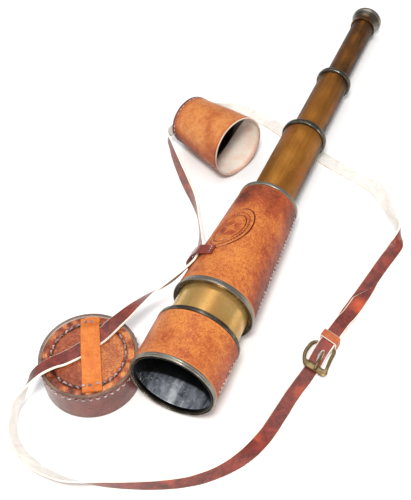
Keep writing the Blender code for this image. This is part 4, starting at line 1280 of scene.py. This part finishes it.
disc_rings = graded(0.0, disc_r - 0.3, 1.2, [(STITCH_RING_R - 5.5, disc_r, 0.35)])
disc_angles = np.arange(360) * math.tau / 360
ring_a, ring_r = disc_angles[:, None], disc_rings[None, :]
top_z = disc_top + disc_height(ring_a, ring_r) - 0.1
disc_points = np.stack([ring_r * np.cos(ring_a), -ring_r * np.sin(ring_a), top_z], axis=2)
side_points = np.stack([np.stack([radius * np.cos(disc_angles), -radius * np.sin(disc_angles),
                                  0 * disc_angles + z], axis=1)
                        for radius, z in ((disc_r, disc_top - 1.1), (disc_r, disc_low), (0.0, disc_low))],
                       axis=1)
disc_all = np.concatenate([disc_points, side_points], axis=1)
disc_rows, disc_columns = disc_all.shape[:2]


def disc_paint(a, r):
    """Dark to the left of the band and in the groove, orange to its right."""
    x, y = r * np.cos(a), -r * np.sin(a)
    across = x * 0.875 + y * 0.484
    left = smooth((1.0 - across) / 10)
    ring = smooth(1 - np.abs(r - STITCH_RING_R) / 2.4)
    lumps = smooth((r - STITCH_RING_R - 1.2) / 1.5) * np.sin(17 * a + 2.0 * np.sin(5 * a))
    return 0.42 * left + 0.5 * ring + 0.55 * lumps - 0.14


full_r = np.concatenate([ring_r + 0 * ring_a, np.full((disc_rows, 3), disc_r)], axis=1)
disc_age = disc_paint(ring_a + 0 * full_r, full_r)
disc_ink = 0.9 * smooth(1 - np.abs(full_r - STITCH_RING_R) / 1.3)
make_piece("objective_cap_disc_hide", disc_all.reshape(-1, 3),
           grid_faces(disc_rows, disc_columns, wrap_rows=True, wrap_columns=False), [DISC], "objective_cap",
           objective_cap, ["objective_cap_disc"], paint={"age_and_shade": disc_age, "ink_and_painted_light": disc_ink})

# The band over the strap, and the ring of stitches that sews its ends down.
band_along = Vector((-0.484, 0.875, 0.0)).normalized()
BAND_WIDTH, BAND_THICK = 13.0, 1.3
band_low = disc_top + GAP + BAND_THICK / 2
band_high = CAP_HEIGHT + 0.4 + STRAP_THICK + GAP + BAND_THICK / 2
band_profile = ((-27.6, 0.0), (-20.0, 0.0), (-14.0, 0.0), (-7.5, 0.4), (-1.5, 1.0), (4.0, 1.0), (9.0, 1.0),
                (14.0, 1.0), (21.0, 1.0), (24.8, 0.3), (27.5, 0.0), (30.3, 0.0))
band_middle = Vector((2.9, -0.7, 0.0))
band_line = [band_middle + band_along * s + UP * (band_low + (band_high - band_low) * lift)
             for s, lift in curve_points(band_profile, 6)]
ribbon("objective_cap_band_leather", band_line, [UP] * len(band_line), BAND_WIDTH, BAND_THICK,
       [BAND, BAND, STRAP_BACK], "objective_cap", objective_cap, ["objective_cap_band"],
       wobble=0.03, corner=0.3)
ring_stitches = []
band_across = band_along.cross(UP)
for k in range(RING_STITCHES):
    spots = []
    for share, wander in ((-0.37, 1), (0.37, -1)):
        a = math.tau * (k + 0.5 + share + 0.08 * math.sin(2.7 * k)) / RING_STITCHES
        radius = STITCH_RING_R + 0.45 * wander * math.sin(1.9 * k + 0.6)
        spots.append(around(a, radius, 0))
    offset = (spots[0] + spots[1]) / 2 - band_middle
    on_band = abs(offset.dot(band_across)) < BAND_WIDTH / 2 - 0.6
    along_band = offset.dot(band_along)
    height = disc_top - 0.62
    if on_band:
        nearest = min(band_line, key=lambda p: abs((p - band_middle).dot(band_along) - along_band))
        height = nearest.z + BAND_THICK / 2 + 0.1
    strap_side = abs((offset + band_middle - Vector((-5.8, 0, 0))).cross(strap_over_cap).z)
    if strap_side > STRAP_WIDTH / 2 + 1.2 or on_band:
        ring_stitches.append((spots[0] + UP * height, spots[1] + UP * height, UP))
threads("objective_cap_ring_thread", ring_stitches, 0.75, DARK_THREAD, "objective_cap",
        objective_cap, rise=0.95)

# ---- eye cap ------------------------------------------------------------------------
CUP_LENGTH = extent(outline_of("eye_cap_wall", eye_cap))[3]
CUP_MOUTH_R, CUP_END_R, CUP_WALL = 25.0, 19.8, 1.6


def cup_radius(distance):
    return CUP_MOUTH_R - (CUP_MOUTH_R - CUP_END_R) * distance / CUP_LENGTH


def cup_relief(a, r, z):
    skin = on_skin(r, cup_radius(z) - 0.7)
    closed_end = smooth((z - CUP_LENGTH + 6) / 5)
    pinch = -0.2 * smooth(1 - np.abs(z - CUP_LENGTH + 2.8) / 0.9)
    rim = 0.12 * smooth((z - CUP_LENGTH + 2.0) / 1.0)
    return skin * (hide_waves(a, z, 0.22, 7.0) * (1 - closed_end) + pinch + rim - 0.12)


def cup_age_and_shade(a, r, z):
    """Dark towards the closed end, down both sides away from the top as painted shade, and orange on top."""
    outside = on_skin(r, cup_radius(z) - 0.7)
    top = eye_cap.to_3x3().inverted() @ UP
    upness = np.cos(a) * top.x - np.sin(a) * top.y
    dark = 0.55 * smooth((z - CUP_LENGTH + 9) / 9) + 0.6 * smooth((0.5 - upness) / 0.7) + 0.2 * smooth(
        1 - z / 5) - 0.12
    stain = 0.5 * smooth(1 - z / 4) + 0.25 * smooth((z - 30) / 20)
    return outside * dark + (1 - outside) * stain


CUP_SEAM = math.radians(200)
# Deeper than LINING_DEPTH the inside is the dark cap hide, partly its own colour and partly painted shade.
LINING_DEPTH = 26.0
# The lining is pale on the wall that the camera sees and black away from it. This stands for
# shade, and it was placed by the camera's direction, so it is wrong as a finish.
FROM_CAMERA = Vector((-0.289, 0.568, -0.771))
seen_way = eye_cap.to_3x3().inverted() @ FROM_CAMERA
SEEN_SIDE = math.atan2(-seen_way.y, seen_way.x)


# A dark seam line, and the painted shade deep in the lining.
def cup_seam_and_painted_shade(a, r, z):
    inside = 1 - on_skin(r, cup_radius(z) - 0.9)
    seam = smooth(1 - np.abs(r * wrapped(a - CUP_SEAM)) / 0.6) * 0.6
    pale_to = 26 - 17 * (np.abs(wrapped(a - SEEN_SIDE)) / math.radians(90)) ** 2
    return inside * np.maximum(seam, smooth((z - pale_to + 0.7) / 1.4))


turned("eye_cap_wall_hide",
       hide_outline(0.0, CUP_LENGTH, lambda z: cup_radius(z) - CUP_WALL, cup_radius, 0.7, lip=0.4,
                    inner_steps=110),
       CUP, "eye_cap", eye_cap, ["eye_cap_wall"], steps=240, relief=cup_relief,
       materials=[CUP, STRAP_EDGE, CUP_LINING, CAP],
       group_of=lambda r, z: (1 if z < 0.3 else 3 if z > CUP_LENGTH - 1.6
                              else 0 if r > cup_radius(z) - CUP_WALL + 0.3 else 2 if z < LINING_DEPTH else 3),
       paint_of={"age_and_shade": cup_age_and_shade, "ink_and_painted_light": cup_seam_and_painted_shade})
END_STITCHES, END_STITCH_AT = 34, CUP_LENGTH - 2.8
end_ring = stitch_ring(END_STITCHES, 0.64, cup_radius(END_STITCH_AT) - 0.15, END_STITCH_AT)
# Those close to the floor are left out.
end_stitches = [stitch for stitch in end_ring
                if min((eye_cap @ (spot * MM)).z for spot in stitch[:2]) > 1.4 * MM]
threads("eye_cap_end_thread", end_stitches, 0.45, DARK_THREAD, "eye_cap", eye_cap, rise=0.8)
plain_turned("eye_cap_disc", CAP, "eye_cap", place=eye_cap, softness=0.5)

cup_band_low = CUP_LENGTH - 0.2 + GAP + BAND_THICK / 2
cup_band_high = CUP_LENGTH + GAP + STRAP_THICK + GAP + BAND_THICK / 2
cup_band_profile = ((-17.0, 0.0), (-11.5, 0.0), (-6.5, 1.0), (0.0, 1.0), (6.5, 1.0), (11.5, 0.0), (17.0, 0.0))
cup_band_line = [Vector((0, s, cup_band_low + (cup_band_high - cup_band_low) * min(max(lift, 0), 1)))
                 for s, lift in curve_points(cup_band_profile, 8)]
ribbon("eye_cap_band_leather", cup_band_line, [UP] * len(cup_band_line), 9.0, BAND_THICK,
       [BAND, BAND, STRAP_BACK], "eye_cap", eye_cap, ["eye_cap_band"], corner=0.3)
cup_band_stitches = []
for s in (-14.5, 14.5):
    for k in (-1, 0, 1):
        height = cup_band_low + BAND_THICK / 2 + 0.08
        cup_band_stitches.append((Vector((2.6 * k - 0.8, s, height)), Vector((2.6 * k + 0.8, s, height)), UP))
threads("eye_cap_band_thread", cup_band_stitches, 0.36, DARK_THREAD, "eye_cap", eye_cap)


# ---- floor and light ----------------------------------------------------------------
def floor_material():
    f = Finish("pale_floor", roughness=0.85)
    f.colour(tint(246, 246, 245))
    return f.material


floor_mesh = bpy.data.meshes.new("floor")
FLOOR_HALF, FLOOR_DROP = 3.0, 0.0002
floor_corners = ((-1, -1), (1, -1), (1, 1), (-1, 1))
floor_mesh.from_pydata([(x * FLOOR_HALF, y * FLOOR_HALF, -FLOOR_DROP) for x, y in floor_corners],
                       [], [(0, 1, 2, 3)])
floor_mesh.materials.append(floor_material())
floor = add_object("floor", floor_mesh)


def area_light(name, place, size, power, colour=(1, 1, 1), target=(0, 0, 0.02)):
    data = bpy.data.lights.new(name, "AREA")
    data.shape = "SQUARE"
    data.size, data.energy, data.color = size, power, colour
    light = add_object(name, data)
    light.location = place
    light.rotation_euler = (Vector(target) - Vector(place)).to_track_quat("-Z", "Y").to_euler()


area_light("key", (0.30, -0.75, 1.55), 0.35, 22.0, (1.0, 0.98, 0.95))
area_light("overhead", (-0.2, 0.3, 1.6), 1.4, 10.0, (0.97, 0.98, 1.0))
area_light("fill", (-1.3, -0.4, 0.9), 1.0, 5.0, (0.96, 0.98, 1.0))
area_light("side", (1.1, -0.75, 0.55), 0.4, 5.0, (1.0, 0.97, 0.94), (-0.05, 0.02, 0.03))
world = bpy.data.worlds.new("studio")
world.use_nodes = True
world.node_tree.nodes["Background"].inputs["Color"].default_value = (0.93, 0.95, 1.0, 1.0)
world.node_tree.nodes["Background"].inputs["Strength"].default_value = 0.42
bpy.context.scene.world = world
bpy.context.scene.view_settings.view_transform = "Standard"
